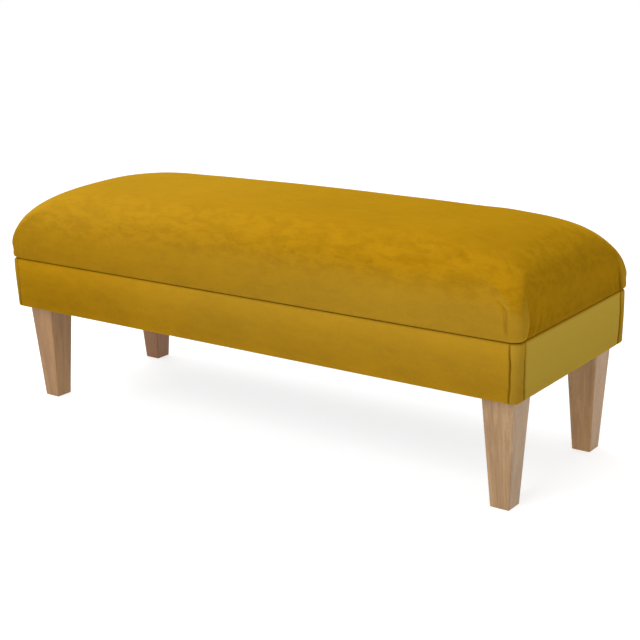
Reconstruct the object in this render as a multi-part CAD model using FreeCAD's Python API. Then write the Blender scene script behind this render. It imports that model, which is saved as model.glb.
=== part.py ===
import FreeCAD, Part
import math
import os

from FreeCAD import Vector

# Storage ottoman: a low upholstered bench on four tapered legs.  The deep
# padded lid is hinged along the back and two folding friction stays hold it
# open over a lined box.
#
# Millimetres.  +X runs along the bench to its right end, +Y to the back,
# +Z up.  The origin is on the floor, under the middle of the whole outline.

# ---------------------------------------------------------------- driving sizes
# Base box
bench_length = 1080.0          # over the velvet of the base
bench_depth = 383.0            # over the velvet of the base
leg_height = 187.0             # floor to the underside of the base
rail_height = 76.0
rail_thickness = 18.0
panel_thickness = 12.0
base_corner_radius = 10.0      # outside of the velvet

# Upholstery layers
velvet = 1.5
base_wadding = 4.0
lid_wadding = 8.0
dust_cloth = 0.8
layer_gap = 0.2                # between curved layers that lie on each other
cover_return_under = 30.0      # velvet turned in under the base
cover_drop_inside = 20.0       # velvet turned down inside the box
dust_cloth_margin = 10.0       # dust cloth kept in from the base's edge

# Storage lining
lining_board = 2.0
lining_below_rim = 10.0        # the lining's top edge, under the rails' top
lid_lining_thickness = 1.2
lid_lining_margin = 31.0       # in from the lid's edge
lid_cover_return = 40.0        # velvet turned in under the lid

# Lid
seam_gap = 1.2                 # between the base and the closed lid
lid_overhang = 1.8             # the lid is this much proud of the base all round
lid_board_thickness = 18.0
lid_crown = 122.5              # pad's rise above the lid board, at the middle
crown_fullness = 3.18          # how soon the top flattens, going inwards
crown_shoulder = 2.12          # how square the shoulder is
lid_corner_radius = 6.0        # at the lid's lower edge
lid_corner_growth = 1.48       # corner radius gained per unit of inset
crown_steps = (0.0, 0.22, 0.42, 0.58, 0.71, 0.82, 0.90, 0.955, 0.985, 0.9985)

# Legs
leg_top_side = 56.0
leg_foot_side = 34.0
leg_inset_end = 15.0           # leg's top edge in from the base's end
leg_inset_side = 20.0          # leg's top edge in from the front and the back
leg_edge_radius = 2.0
leg_foot_ease = 1.0
leg_bolt_radius = 4.0
leg_bolt_depth = 40.0          # thread held in the leg
tee_nut_flange_radius = 10.0
tee_nut_flange = 1.2
tee_nut_barrel_radius = 5.5
tee_nut_barrel = 9.0

# Butt hinges
hinge_places = (("left", -360.0), ("middle", 0.0), ("right", 360.0))
hinge_length = 60.0
hinge_leaf_width = 28.0        # from the pin's centre
hinge_leaf_thickness = 2.0
hinge_leaf_gap = 0.4           # between the closed leaves
hinge_knuckles = 5
hinge_knuckle_gap = 0.3
hinge_barrel_radius = 4.5
hinge_barrel_stand_off = 0.5   # barrel clear of the lid's velvet
hinge_pin_radius = 2.5
hinge_pin_head_radius = 3.4
hinge_pin_head = 1.2
hinge_screws = 3
hinge_screw_end = 10.0         # outer screws in from the leaf's ends

# Folding stays.  Places are measured from the hinge pin's centre.  The arm
# and the lid make a parallelogram, so the arm turns just as the lid does.
stay_foot_inward = 50.0        # arm's fixed pivot, in from the pin
stay_foot_drop = 48.0          # and below it
stay_head_inward = 200.0       # link's pivot on the lid, in from the pin
stay_head_drop = 11.0
stay_bar_width = 14.0
stay_arm_thickness = 2.5
stay_link_thickness = 2.5
stay_plate_thickness = 2.0
stay_side_gap = 0.3            # between bars that slide past each other
stay_rivet_radius = 3.0
stay_rivet_head_radius = 5.5
stay_rivet_head = 1.4
stay_plate_back = 12.0         # plate's edges, from the fixed pivot
stay_plate_front = 18.0
stay_plate_up = 18.0
stay_plate_down = 22.0
stay_stop_width = 3.6
stay_stop_low = 8.0            # stop lug, up from the fixed pivot
stay_bracket_length = 34.0
stay_bracket_flange = 22.0
lid_travel = 90.0              # degrees

# Fasteners
wood_screw_radius = 1.75
wood_screw_head_radius = 3.6
hinge_screw_length = 15.0
stay_wall_screw_length = 16.0
stay_lid_screw_length = 13.0
panel_screw_length = 35.0
rail_screw_length = 45.0
recess_width = 0.9
recess_reach = 2.1
recess_depth = 1.0
staple_length = 10.0
staple_wire = 0.7
staple_pitch = 55.0

# Fits
turning_fit = 0.05             # radial, pin in a turning part
open_pivot_fit = 0.10          # radial, link on the lid's rivet
fastener_fit = 0.05            # radial, screw or bolt in its hole
pocket_fit = 0.5               # round a hinge leaf let into the velvet

# ---------------------------------------------------------------- worked out
skin = velvet + base_wadding
half_length = bench_length / 2
half_depth = bench_depth / 2
frame_half_length = half_length - skin
frame_half_depth = half_depth - skin
box_half_length = frame_half_length - rail_thickness
box_half_depth = frame_half_depth - rail_thickness

dust_z = leg_height
cover_z = dust_z + dust_cloth
panel_z = cover_z + velvet
rail_z = panel_z + panel_thickness
rail_top = rail_z + rail_height
base_top = rail_top + velvet
lid_z = base_top + seam_gap
board_z = lid_z + velvet
pad_z = board_z + lid_board_thickness
lid_half_length = half_length + lid_overhang
lid_half_depth = half_depth + lid_overhang

lining_half_length = box_half_length - velvet
lining_half_depth = box_half_depth - velvet
lining_top = rail_top - lining_below_rim
storage_half_length = lining_half_length - lining_board

pin_y = lid_half_depth + hinge_barrel_stand_off + hinge_barrel_radius
pin_z = base_top + seam_gap / 2
leaf_low = hinge_leaf_gap / 2
leaf_high = leaf_low + hinge_leaf_thickness
base_leaf_bed = min(rail_top, pin_z - leaf_high)
lid_leaf_bed = max(board_z, pin_z + leaf_high)

leg_x = half_length - leg_inset_end - leg_top_side / 2
leg_y = half_depth - leg_inset_side - leg_top_side / 2

stay_foot = Vector(0, pin_y - stay_foot_inward, pin_z - stay_foot_drop)
stay_head = Vector(0, pin_y - stay_head_inward, pin_z - stay_head_drop)
stay_elbow = stay_foot + stay_head - Vector(0, pin_y, pin_z)
stay_half = stay_bar_width / 2
plate_x = storage_half_length - stay_plate_thickness
arm_x = plate_x - stay_side_gap - stay_arm_thickness
link_x = arm_x - stay_side_gap - stay_link_thickness
bracket_x = link_x - stay_side_gap - stay_plate_thickness

# Half the pin barrel's reach past the back, so that the origin is under the
# middle of the outline.
outline_shift = -(pin_y + hinge_barrel_radius - lid_half_depth) / 2


# ---------------------------------------------------------------- helpers
def block(x0, x1, y0, y1, z0, z1):
    """A box between two corners."""
    return Part.makeBox(x1 - x0, y1 - y0, z1 - z0, Vector(x0, y0, z0))


def centred_block(half_x, half_y, z0, z1):
    return block(-half_x, half_x, -half_y, half_y, z0, z1)


def rounded_wire(half_x, half_y, radius, z):
    """A rounded rectangle, drawn from its right side, four lines and four arcs."""
    edges = []
    corners = ((1, 1), (-1, 1), (-1, -1), (1, -1))
    for turn, (sx, sy) in enumerate(corners):
        centre = Vector(sx * (half_x - radius), sy * (half_y - radius), z)
        start = math.radians(90 * turn)
        points = []
        for share in (0.0, 0.5, 1.0):
            angle = start + share * math.pi / 2
            points.append(centre + Vector(radius * math.cos(angle), radius * math.sin(angle), 0))
        if edges:
            edges.append(Part.LineSegment(last, points[0]).toShape())
        else:
            first = points[0]
        edges.append(Part.Arc(*points).toShape())
        last = points[2]
    edges.append(Part.LineSegment(last, first).toShape())
    return Part.Wire(edges)


def rounded_plate(half_x, half_y, radius, z0, z1):
    face = Part.Face(rounded_wire(half_x, half_y, radius, z0))
    return face.extrude(Vector(0, 0, z1 - z0))


def rod(radius, start, end):
    """A round bar between two points."""
    along = end - start
    return Part.makeCylinder(radius, along.Length, start, along)


def slot_bar(start, end, half_width, x0, x1):
    """A flat bar in the YZ plane with round ends on two pivots."""
    along = end - start
    side = Vector(0, -along.z, along.y)
    side.normalize()
    side = side * half_width
    corners = [start + side, end + side, end - side, start - side, start + side]
    flat = [Vector(x0, corner.y, corner.z) for corner in corners]
    bar = Part.Face(Part.makePolygon(flat)).extrude(Vector(x1 - x0, 0, 0))
    for pivot in (start, end):
        bar = bar.fuse(rod(half_width, Vector(x0, pivot.y, pivot.z), Vector(x1, pivot.y, pivot.z)))
    return bar.removeSplitter()


def screw_blank(length, grow=0.0):
    """A countersunk screw, head flush at the origin, point down."""
    head = wood_screw_head_radius + grow
    shank = wood_screw_radius + grow
    cone_height = head - shank
    cone = Part.makeCone(shank, head, cone_height, Vector(0, 0, -cone_height))
    return cone.fuse(Part.makeCylinder(shank, length, Vector(0, 0, -length)))


def screw(length):
    """The screw itself, with its cross recess."""
    body = screw_blank(length)
    half = recess_width / 2
    for half_x, half_y in ((recess_reach, half), (half, recess_reach)):
        body = body.cut(centred_block(half_x, half_y, -recess_depth, recess_depth))
    return body


def placed(shape, place, axis=None, degrees=0.0):
    """A copy, turned about the origin and then moved."""
    copy = shape.copy()
    if axis is not None:
        copy.rotate(Vector(0, 0, 0), axis, degrees)
    copy.translate(place)
    return copy


def mirrored(shape):
    """The same piece for the left end."""
    return shape.mirror(Vector(0, 0, 0), Vector(1, 0, 0))


def cut_all(shape, tools):
    for tool in tools:
        shape = shape.cut(tool)
    return shape


def save(name, *shapes):
    """One sub-part, written with the outline's middle over the origin."""
    solids = []
    for shape in shapes:
        moved = shape.copy()
        moved.translate(Vector(0, outline_shift, 0))
        solids.extend(moved.Solids)
    part = solids[0] if len(solids) == 1 else Part.makeCompound(solids)
    part.exportStep("parts/" + name + ".step")
    print(name, len(solids), round(part.Volume), all(solid.isValid() for solid in solids))


# ---------------------------------------------------------------- places shared by holes and pieces
def hinge_screw_places():
    """Down the middle of the rail that the leaves lie on."""
    y = frame_half_depth - rail_thickness / 2
    reach = hinge_length / 2 - hinge_screw_end
    places = []
    for _, x in hinge_places:
        for turn in range(hinge_screws):
            offset = -reach + 2 * reach * turn / (hinge_screws - 1)
            places.append(Vector(x + offset, y, 0))
    return places


def hinge_base_screws(make):
    z = pin_z - leaf_low
    return [placed(make, place + Vector(0, 0, z)) for place in hinge_screw_places()]


def hinge_lid_screws(make):
    z = pin_z + leaf_low
    flip = Vector(1, 0, 0)
    return [placed(make, place + Vector(0, 0, z), flip, 180) for place in hinge_screw_places()]


def panel_screws(make):
    """Up through the panel, along the middle of each rail."""
    x = frame_half_length - rail_thickness / 2
    y = frame_half_depth - rail_thickness / 2
    places = []
    for step in (-2, -1, 0, 1, 2):
        for side in (-1, 1):
            places.append(Vector(step * x * 0.46, side * y, panel_z))
    for side in (-1, 1):
        for step in (-1, 1):
            places.append(Vector(side * x, step * y * 0.45, panel_z))
    return [placed(make, place, Vector(1, 0, 0), 180) for place in places]


def rail_screws(make):
    """Through the long rails into the ends of the short ones."""
    screws = []
    x = frame_half_length - rail_thickness / 2
    for side in (-1, 1):
        for end in (-1, 1):
            for share in (0.28, 0.72):
                place = Vector(end * x, side * frame_half_depth, rail_z + share * rail_height)
                screws.append(placed(make, place, Vector(1, 0, 0), -90 * side))
    return screws


def stay_wall_screws(make):
    """Under the arm's fixed pivot, clear of the arm's sweep, for both ends."""
    screws = []
    z = stay_foot.z - stay_plate_down + 6
    for end in (-1, 1):
        for y in (stay_foot.y - stay_plate_front + 6, stay_foot.y + stay_plate_back - 6):
            screws.append(placed(make, Vector(end * plate_x, y, z), Vector(0, 1, 0), -90 * end))
    return screws


def stay_lid_screws(make):
    screws = []
    z = lid_z - lid_lining_thickness - stay_plate_thickness
    x = bracket_x - stay_bracket_flange / 2
    for end in (-1, 1):
        for step in (-1, 1):
            place = Vector(end * x, stay_head.y + step * stay_bracket_length * 0.3, z)
            screws.append(placed(make, place, Vector(1, 0, 0), 180))
    return screws


def hinge_pockets(low, high):
    """The beds of the leaves, and their way out through wadding and velvet."""
    half = hinge_length / 2 + pocket_fit
    inner = pin_y - hinge_leaf_width - pocket_fit
    outer = pin_y + hinge_barrel_radius
    return [block(x - half, x + half, inner, outer, low, high) for _, x in hinge_places]


# ---------------------------------------------------------------- base frame
def make_base_frame():
    hinge_holes = hinge_base_screws(screw_blank(hinge_screw_length, fastener_fit))
    panel_holes = panel_screws(screw_blank(panel_screw_length, fastener_fit))
    rail_holes = rail_screws(screw_blank(rail_screw_length, fastener_fit))
    wall_holes = stay_wall_screws(screw_blank(stay_wall_screw_length, fastener_fit))
    beds = hinge_pockets(base_leaf_bed, base_top)
    holes = hinge_holes + panel_holes + rail_holes + wall_holes + beds

    for name, side in (("front_rail", -1), ("back_rail", 1)):
        inner = side * box_half_depth
        outer = side * frame_half_depth
        rail = block(-frame_half_length, frame_half_length,
                     min(inner, outer), max(inner, outer), rail_z, rail_top)
        save(name, cut_all(rail, holes))
    for name, side in (("left_rail", -1), ("right_rail", 1)):
        inner = side * box_half_length
        outer = side * frame_half_length
        rail = block(min(inner, outer), max(inner, outer),
                     -box_half_depth, box_half_depth, rail_z, rail_top)
        save(name, cut_all(rail, holes))

    panel = centred_block(frame_half_length, frame_half_depth, panel_z, rail_z)
    panel = cut_all(panel, panel_holes)
    for x, y in leg_places():
        panel = panel.cut(tee_nut_blank(x, y, fastener_fit))
        panel = panel.cut(rod(leg_bolt_radius + pocket_fit, Vector(x, y, panel_z), Vector(x, y, rail_z)))
    save("base_panel", panel)

    save("rail_screws", *rail_screws(screw(rail_screw_length)))
    save("panel_screws", *panel_screws(screw(panel_screw_length)))


# ---------------------------------------------------------------- legs
def leg_places():
    return [(sx * leg_x, sy * leg_y) for sy in (-1, 1) for sx in (-1, 1)]


def tee_nut_blank(x, y, grow=0.0):
    """Flange flush with the panel's top, barrel down into the panel."""
    flange = rod(tee_nut_flange_radius + grow, Vector(x, y, rail_z - tee_nut_flange), Vector(x, y, rail_z))
    low = rail_z - tee_nut_flange - tee_nut_barrel
    barrel = rod(tee_nut_barrel_radius + grow, Vector(x, y, low), Vector(x, y, rail_z))
    return flange.fuse(barrel)


def make_legs():
    names = ("leg_front_left", "leg_front_right", "leg_back_left", "leg_back_right")
    foot = leg_foot_side / 2
    top = leg_top_side / 2
    bolt_low = leg_height - leg_bolt_depth
    bolts = []
    nuts = []
    for name, (x, y) in zip(names, leg_places()):
        wires = [rounded_wire(foot - leg_foot_ease, foot - leg_foot_ease, leg_edge_radius, 0),
                 rounded_wire(foot, foot, leg_edge_radius, leg_foot_ease),
                 rounded_wire(top, top, leg_edge_radius, leg_height)]
        leg = placed(Part.makeLoft(wires, True, True), Vector(x, y, 0))
        low = Vector(x, y, bolt_low)
        leg = leg.cut(rod(leg_bolt_radius + fastener_fit, low, Vector(x, y, leg_height)))
        save(name, leg)
        bolts.append(rod(leg_bolt_radius, low, Vector(x, y, rail_z)))
        nut = tee_nut_blank(x, y)
        nut = nut.cut(rod(leg_bolt_radius + fastener_fit, Vector(x, y, panel_z), Vector(x, y, rail_z)))
        nuts.append(nut)
    save("leg_bolts", *bolts)
    save("leg_tee_nuts", *nuts)


# ---------------------------------------------------------------- base upholstery
def make_base_upholstery():
    radius = base_corner_radius
    pockets = hinge_pockets(base_leaf_bed, base_top)

    ring = rounded_plate(half_length - velvet - layer_gap, half_depth - velvet - layer_gap,
                         radius - velvet, panel_z, rail_top)
    ring = ring.cut(centred_block(frame_half_length, frame_half_depth, panel_z, rail_top))
    save("base_wadding", cut_all(ring, pockets))

    cover = rounded_plate(half_length, half_depth, radius, cover_z, base_top)
    cover = cover.cut(rounded_plate(half_length - velvet, half_depth - velvet, radius - velvet,
                                    panel_z, rail_top))
    cover = cover.cut(centred_block(half_length - cover_return_under, half_depth - cover_return_under,
                                    cover_z, panel_z))
    cover = cover.cut(centred_block(box_half_length, box_half_depth, rail_top, base_top))
    drop = centred_block(box_half_length, box_half_depth, rail_top - cover_drop_inside, base_top)
    drop = drop.cut(centred_block(lining_half_length, lining_half_depth,
                                  rail_top - cover_drop_inside, base_top))
    cover = cover.fuse(drop).removeSplitter()
    save("base_cover", cut_all(cover, pockets))

    cloth = centred_block(half_length - dust_cloth_margin, half_depth - dust_cloth_margin,
                          dust_z, cover_z)
    for x, y in leg_places():
        cloth = cloth.cut(rod(leg_bolt_radius + fastener_fit, Vector(x, y, dust_z), Vector(x, y, cover_z)))
    save("dust_cloth", cloth)

    inset = dust_cloth_margin + staple_length / 2
    keep_out = []
    reach = leg_top_side / 2 + staple_length
    for x, y in leg_places():
        keep_out.append((x - reach, x + reach, y - reach, y + reach))
    save("base_staples", *staple_row(half_length - inset, half_depth - inset, dust_z, keep_out))


def staple_row(half_x, half_y, top, keep_out):
    """Staple crowns round a rectangle, lying flat under a cloth."""
    staples = []
    half = staple_length / 2
    wire = staple_wire / 2
    count_x = int(2 * half_x / staple_pitch)
    count_y = int(2 * half_y / staple_pitch)
    for turn in range(count_x):
        x = -half_x + (turn + 0.5) * 2 * half_x / count_x
        for y in (-half_y, half_y):
            staples.append((x, y, half, wire))
    for turn in range(count_y):
        y = -half_y + (turn + 0.5) * 2 * half_y / count_y
        for x in (-half_x, half_x):
            staples.append((x, y, wire, half))
    crowns = []
    for x, y, half_along_x, half_along_y in staples:
        blocked = any(x0 < x < x1 and y0 < y < y1 for x0, x1, y0, y1 in keep_out)
        if not blocked:
            crowns.append(block(x - half_along_x, x + half_along_x,
                                y - half_along_y, y + half_along_y, top - staple_wire, top))
    return crowns


def make_storage_lining():
    floor_top = rail_z + lining_board
    save("lining_floor", centred_block(box_half_length, box_half_depth, rail_z, floor_top))
    wall_holes = stay_wall_screws(screw_blank(stay_wall_screw_length, fastener_fit))
    inner_depth = lining_half_depth - lining_board
    for name, side in (("lining_front", -1), ("lining_back", 1)):
        y0, y1 = sorted((side * inner_depth, side * lining_half_depth))
        save(name, block(-lining_half_length, lining_half_length, y0, y1, floor_top, lining_top))
    for name, side in (("lining_left", -1), ("lining_right", 1)):
        x0, x1 = sorted((side * storage_half_length, side * lining_half_length))
        wall = block(x0, x1, -inner_depth, inner_depth, floor_top, lining_top)
        save(name, cut_all(wall, wall_holes))


# ---------------------------------------------------------------- lid
def lid_form(shrink, low):
    """The lid's outside, shrunk by a layer: upright to the board's top, then crowned."""
    half_x = lid_half_length - shrink
    half_y = lid_half_depth - shrink
    rise = lid_crown - shrink
    wires = [rounded_wire(half_x, half_y, lid_corner_radius, low)]
    for height in crown_steps:
        inset = half_y * (1 - (1 - height ** crown_shoulder) ** (1 / crown_fullness))
        radius = lid_corner_radius + lid_corner_growth * inset
        radius = min(radius, 0.9 * (half_y - inset))
        wires.append(rounded_wire(half_x - inset, half_y - inset, radius, pad_z + height * rise))
    return Part.makeLoft(wires, True, True)


def make_lid():
    board_shrink = velvet + lid_wadding
    board_half_x = lid_half_length - board_shrink - layer_gap
    board_half_y = lid_half_depth - board_shrink - layer_gap
    hinge_holes = hinge_lid_screws(screw_blank(hinge_screw_length, fastener_fit))
    bracket_holes = stay_lid_screws(screw_blank(stay_lid_screw_length, fastener_fit))
    pockets = hinge_pockets(lid_z, lid_leaf_bed)

    board = rounded_plate(board_half_x, board_half_y, lid_corner_radius, board_z, pad_z)
    save("lid_board", cut_all(board, hinge_holes + bracket_holes + pockets))
    foam = lid_form(board_shrink + layer_gap, pad_z - lid_board_thickness)
    foam = foam.cut(centred_block(lid_half_length, lid_half_depth, board_z - 1, pad_z))
    save("foam_pad", foam)
    wadding = lid_form(velvet + layer_gap, board_z)
    wadding = wadding.cut(lid_form(board_shrink, board_z))
    save("lid_wadding", cut_all(wadding, pockets))

    cover = lid_form(0, lid_z)
    cover = cover.cut(lid_form(velvet, board_z))
    cover = cover.cut(centred_block(lid_half_length - lid_cover_return,
                                    lid_half_depth - lid_cover_return, lid_z, board_z))
    save("lid_cover", cut_all(cover, pockets))

    lining = centred_block(lid_half_length - lid_lining_margin, lid_half_depth - lid_lining_margin,
                           lid_z - lid_lining_thickness, lid_z)
    lining = lining.fuse(centred_block(lid_half_length - lid_cover_return,
                                       lid_half_depth - lid_cover_return, lid_z, board_z))
    save("lid_lining", cut_all(lining.removeSplitter(), bracket_holes))

    inset = lid_lining_margin + staple_length / 2
    clear = staple_length
    x0 = bracket_x - stay_bracket_flange - clear
    y0 = stay_head.y - stay_bracket_length / 2 - clear
    y1 = stay_head.y + stay_bracket_length / 2 + clear
    keep_out = [(x0, lid_half_length, y0, y1), (-lid_half_length, -x0, y0, y1)]
    save("lid_staples", *staple_row(lid_half_length - inset, lid_half_depth - inset,
                                    lid_z - lid_lining_thickness, keep_out))


# ---------------------------------------------------------------- hinges
def knuckle_spans(first):
    """Every other knuckle's span along the pin, from the hinge's left end."""
    knuckle = (hinge_length - (hinge_knuckles - 1) * hinge_knuckle_gap) / hinge_knuckles
    spans = []
    for turn in range(first, hinge_knuckles, 2):
        start = -hinge_length / 2 + turn * (knuckle + hinge_knuckle_gap)
        spans.append((start, start + knuckle))
    return spans


def hinge_leaf(first, z0, z1):
    """A leaf about the pin's centre, cleared round the other leaf's knuckles."""
    half = hinge_length / 2
    leaf = block(-half, half, -hinge_leaf_width, 0, z0, z1)
    swept = hinge_barrel_radius + hinge_knuckle_gap
    leaf = leaf.cut(rod(swept, Vector(-half, 0, 0), Vector(half, 0, 0)))
    for start, end in knuckle_spans(first):
        leaf = leaf.fuse(block(start, end, -swept - 1, 0, z0, z1))
        leaf = leaf.fuse(rod(hinge_barrel_radius, Vector(start, 0, 0), Vector(end, 0, 0)))
    leaf = leaf.cut(rod(hinge_pin_radius + turning_fit, Vector(-half, 0, 0), Vector(half, 0, 0)))
    return leaf.removeSplitter()


def make_hinges():
    base_holes = hinge_base_screws(screw_blank(hinge_screw_length, fastener_fit))
    lid_holes = hinge_lid_screws(screw_blank(hinge_screw_length, fastener_fit))
    base_leaf = hinge_leaf(0, -leaf_high, -leaf_low)
    lid_leaf = hinge_leaf(1, leaf_low, leaf_high)
    half = hinge_length / 2
    pin = rod(hinge_pin_radius, Vector(-half, 0, 0), Vector(half, 0, 0))
    for end in (-1, 1):
        face = Vector(end * half, 0, 0)
        pin = pin.fuse(rod(hinge_pin_head_radius, face, face + Vector(end * hinge_pin_head, 0, 0)))
    pin = pin.removeSplitter()
    for name, x in hinge_places:
        place = Vector(x, pin_y, pin_z)
        save("hinge_" + name + "_base_leaf", cut_all(placed(base_leaf, place), base_holes))
        save("hinge_" + name + "_lid_leaf", cut_all(placed(lid_leaf, place), lid_holes))
        save("hinge_" + name + "_pin", placed(pin, place))
    save("hinge_base_screws", *hinge_base_screws(screw(hinge_screw_length)))
    save("hinge_lid_screws", *hinge_lid_screws(screw(hinge_screw_length)))


# ---------------------------------------------------------------- stays
def across(point, x):
    return Vector(x, point.y, point.z)


def rivet(point, x_tail, x_head, tail_head):
    """A rivet along X, its head towards the middle of the bench."""
    body = rod(stay_rivet_radius, across(point, x_tail), across(point, x_head))
    head = rod(stay_rivet_head_radius, across(point, x_head), across(point, x_head - stay_rivet_head))
    body = body.fuse(head)
    if tail_head:
        tail = rod(stay_rivet_head_radius, across(point, x_tail), across(point, x_tail + stay_rivet_head))
        body = body.fuse(tail)
    return body.removeSplitter()


def make_stays():
    wall_holes = stay_wall_screws(screw_blank(stay_wall_screw_length, fastener_fit))
    lid_holes = stay_lid_screws(screw_blank(stay_lid_screw_length, fastener_fit))
    turning_hole = stay_rivet_radius + turning_fit
    open_hole = stay_rivet_radius + open_pivot_fit

    plate = block(plate_x, storage_half_length,
                  stay_foot.y - stay_plate_front, stay_foot.y + stay_plate_back,
                  stay_foot.z - stay_plate_down, stay_foot.z + stay_plate_up)
    stop_y = stay_foot.y + stay_half + stay_side_gap
    stop = block(arm_x, plate_x, stop_y, stop_y + stay_stop_width,
                 stay_foot.z + stay_stop_low, stay_foot.z + stay_plate_up)
    plate = plate.fuse(stop).removeSplitter()
    plate = plate.cut(rod(stay_rivet_radius, across(stay_foot, plate_x),
                          across(stay_foot, storage_half_length)))
    plate = cut_all(plate, wall_holes)

    arm = slot_bar(stay_foot, stay_elbow, stay_half, arm_x, arm_x + stay_arm_thickness)
    arm = arm.cut(rod(turning_hole, across(stay_foot, arm_x), across(stay_foot, plate_x)))
    arm = arm.cut(rod(stay_rivet_radius, across(stay_elbow, arm_x), across(stay_elbow, plate_x)))

    link = slot_bar(stay_elbow, stay_head, stay_half, link_x, link_x + stay_link_thickness)
    link = link.cut(rod(turning_hole, across(stay_elbow, link_x), across(stay_elbow, arm_x)))
    link = link.cut(rod(open_hole, across(stay_head, link_x), across(stay_head, arm_x)))

    flange_z = lid_z - lid_lining_thickness
    ear_x = bracket_x + stay_plate_thickness
    half = stay_bracket_length / 2
    ear = block(bracket_x, ear_x, stay_head.y - stay_half, stay_head.y + stay_half,
                stay_head.z, flange_z)
    ear = ear.fuse(rod(stay_half, across(stay_head, bracket_x), across(stay_head, ear_x)))
    flange = block(bracket_x - stay_bracket_flange, ear_x, stay_head.y - half, stay_head.y + half,
                   flange_z - stay_plate_thickness, flange_z)
    bracket = ear.fuse(flange).removeSplitter()
    bracket = bracket.cut(rod(stay_rivet_radius, across(stay_head, bracket_x), across(stay_head, ear_x)))
    bracket = cut_all(bracket, lid_holes)

    foot_rivet = rivet(stay_foot, storage_half_length, arm_x - stay_side_gap, False)
    elbow_rivet = rivet(stay_elbow, arm_x + stay_arm_thickness, link_x - stay_side_gap, True)
    head_rivet = rivet(stay_head, link_x + stay_link_thickness + stay_side_gap / 2, bracket_x, False)

    pieces = {"plate": plate, "foot_rivet": foot_rivet, "arm": arm, "elbow_rivet": elbow_rivet,
              "link": link, "lid_bracket": bracket, "head_rivet": head_rivet}
    for name, piece in pieces.items():
        save("stay_right_" + name, piece)
        save("stay_left_" + name, mirrored(piece))
    save("stay_wall_screws", *stay_wall_screws(screw(stay_wall_screw_length)))
    save("stay_lid_screws", *stay_lid_screws(screw(stay_lid_screw_length)))


def main():
    os.makedirs("parts", exist_ok=True)
    make_base_frame()
    make_legs()
    make_base_upholstery()
    make_storage_lining()
    make_lid()
    make_hinges()
    make_stays()
    stay_pivots = (("hinge", Vector(0, pin_y, pin_z)), ("stay foot", stay_foot),
                   ("stay elbow", stay_elbow), ("stay head", stay_head))
    for name, point in stay_pivots:
        print(name, round(point.y + outline_shift, 4), round(point.z, 4))


main()
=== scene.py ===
import math
import random

import bpy
import numpy as np
from mathutils import Matrix, Vector


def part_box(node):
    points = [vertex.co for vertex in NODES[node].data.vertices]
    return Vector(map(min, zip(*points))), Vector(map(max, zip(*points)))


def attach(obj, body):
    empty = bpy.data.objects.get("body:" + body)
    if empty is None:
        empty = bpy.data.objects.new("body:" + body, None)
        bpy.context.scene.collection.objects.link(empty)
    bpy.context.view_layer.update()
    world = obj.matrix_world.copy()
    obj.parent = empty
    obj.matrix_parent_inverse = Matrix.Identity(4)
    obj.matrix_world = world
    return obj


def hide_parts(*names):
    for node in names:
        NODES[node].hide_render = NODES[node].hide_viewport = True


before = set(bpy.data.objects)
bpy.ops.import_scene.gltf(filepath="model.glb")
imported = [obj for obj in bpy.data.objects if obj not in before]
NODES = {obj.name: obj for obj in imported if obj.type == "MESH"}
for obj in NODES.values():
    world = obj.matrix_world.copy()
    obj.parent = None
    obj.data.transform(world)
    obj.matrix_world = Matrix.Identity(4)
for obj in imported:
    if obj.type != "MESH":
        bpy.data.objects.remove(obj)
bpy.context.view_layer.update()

# Looks for a storage ottoman: velvet over a deep crowned lid and a shallow
# base, tapered beech legs, calico lining, plated hinges and folding stays.
# Metres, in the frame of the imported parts: +X to the right end, +Y to the
# back, +Z up from the floor.

bl_info = {
    "name": "Storage Ottoman",
    "version": (1, 0, 0),
    "blender": (4, 5, 0),
    "location": "3D View > Sidebar > Ottoman",
    "description": "Dresses the frame of a storage ottoman in velvet, beech, calico and plated steel",
    "category": "Object",
}

LID_LOW, LID_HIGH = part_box("lid_cover")
BASE_LOW, BASE_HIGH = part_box("base_cover")
BOARD_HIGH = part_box("lid_board")[1]
RAIL_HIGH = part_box("front_rail")[1]
BASE_MIDDLE = (BASE_LOW + BASE_HIGH) / 2
BASE_HALF_X = (BASE_HIGH.x - BASE_LOW.x) / 2
BASE_HALF_Y = (BASE_HIGH.y - BASE_LOW.y) / 2
LID_MIDDLE = (LID_LOW + LID_HIGH) / 2
LID_HALF_X = (LID_HIGH.x - LID_LOW.x) / 2
LID_HALF_Y = (LID_HIGH.y - LID_LOW.y) / 2
MM = 0.001
TINY = 1e-9
FULL_TURN = 2 * math.pi

# How the lid's cover behaves while its filling pushes it out.
COVER_CLOTH = {
    "quality": 3,
    "mass": 0.35,
    "tension_stiffness": 12,
    "compression_stiffness": 8,
    "shear_stiffness": 5,
    "bending_stiffness": 0.6,
}
CLOTH_FRAMES = 20
CLOTH_EVENING = 12      # rounds of averaging over neighbours
HELD_BELOW = 0.004      # the cover is held below this height over its seam

# The lid cover's section: its return under the board, its tuck, its side and its crown.
LID_SPACING = ((0.0012, 0.012), (0.0024, 0.060), (0.0092, 1.0))
RETURN_REACH = 0.04
RETURN_CLEAR = 0.004
RETURN_ROWS = 5
TUCK = 0.0032
TUCK_INSET = 0.0008
TUCK_ROWS = 5
SIDE_ROWS = 3
SIDE_BULGE = 0.25       # the long sides' share of the ends' bulge
BULGE_RISE = 0.016      # how far over the board the bulge is fullest
BULGE_SPREAD = 0.034
CROWN_ROWS = 34
CROWN_TURN = 1.32       # how soon the section has risen all the way
CROWN_REACH = 0.62      # how far in the rings go, as a share of the half depth
INWARD_FROM = 0.55      # from this share of the section on, it runs mostly inward
ROUNDEST = 0.98

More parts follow.
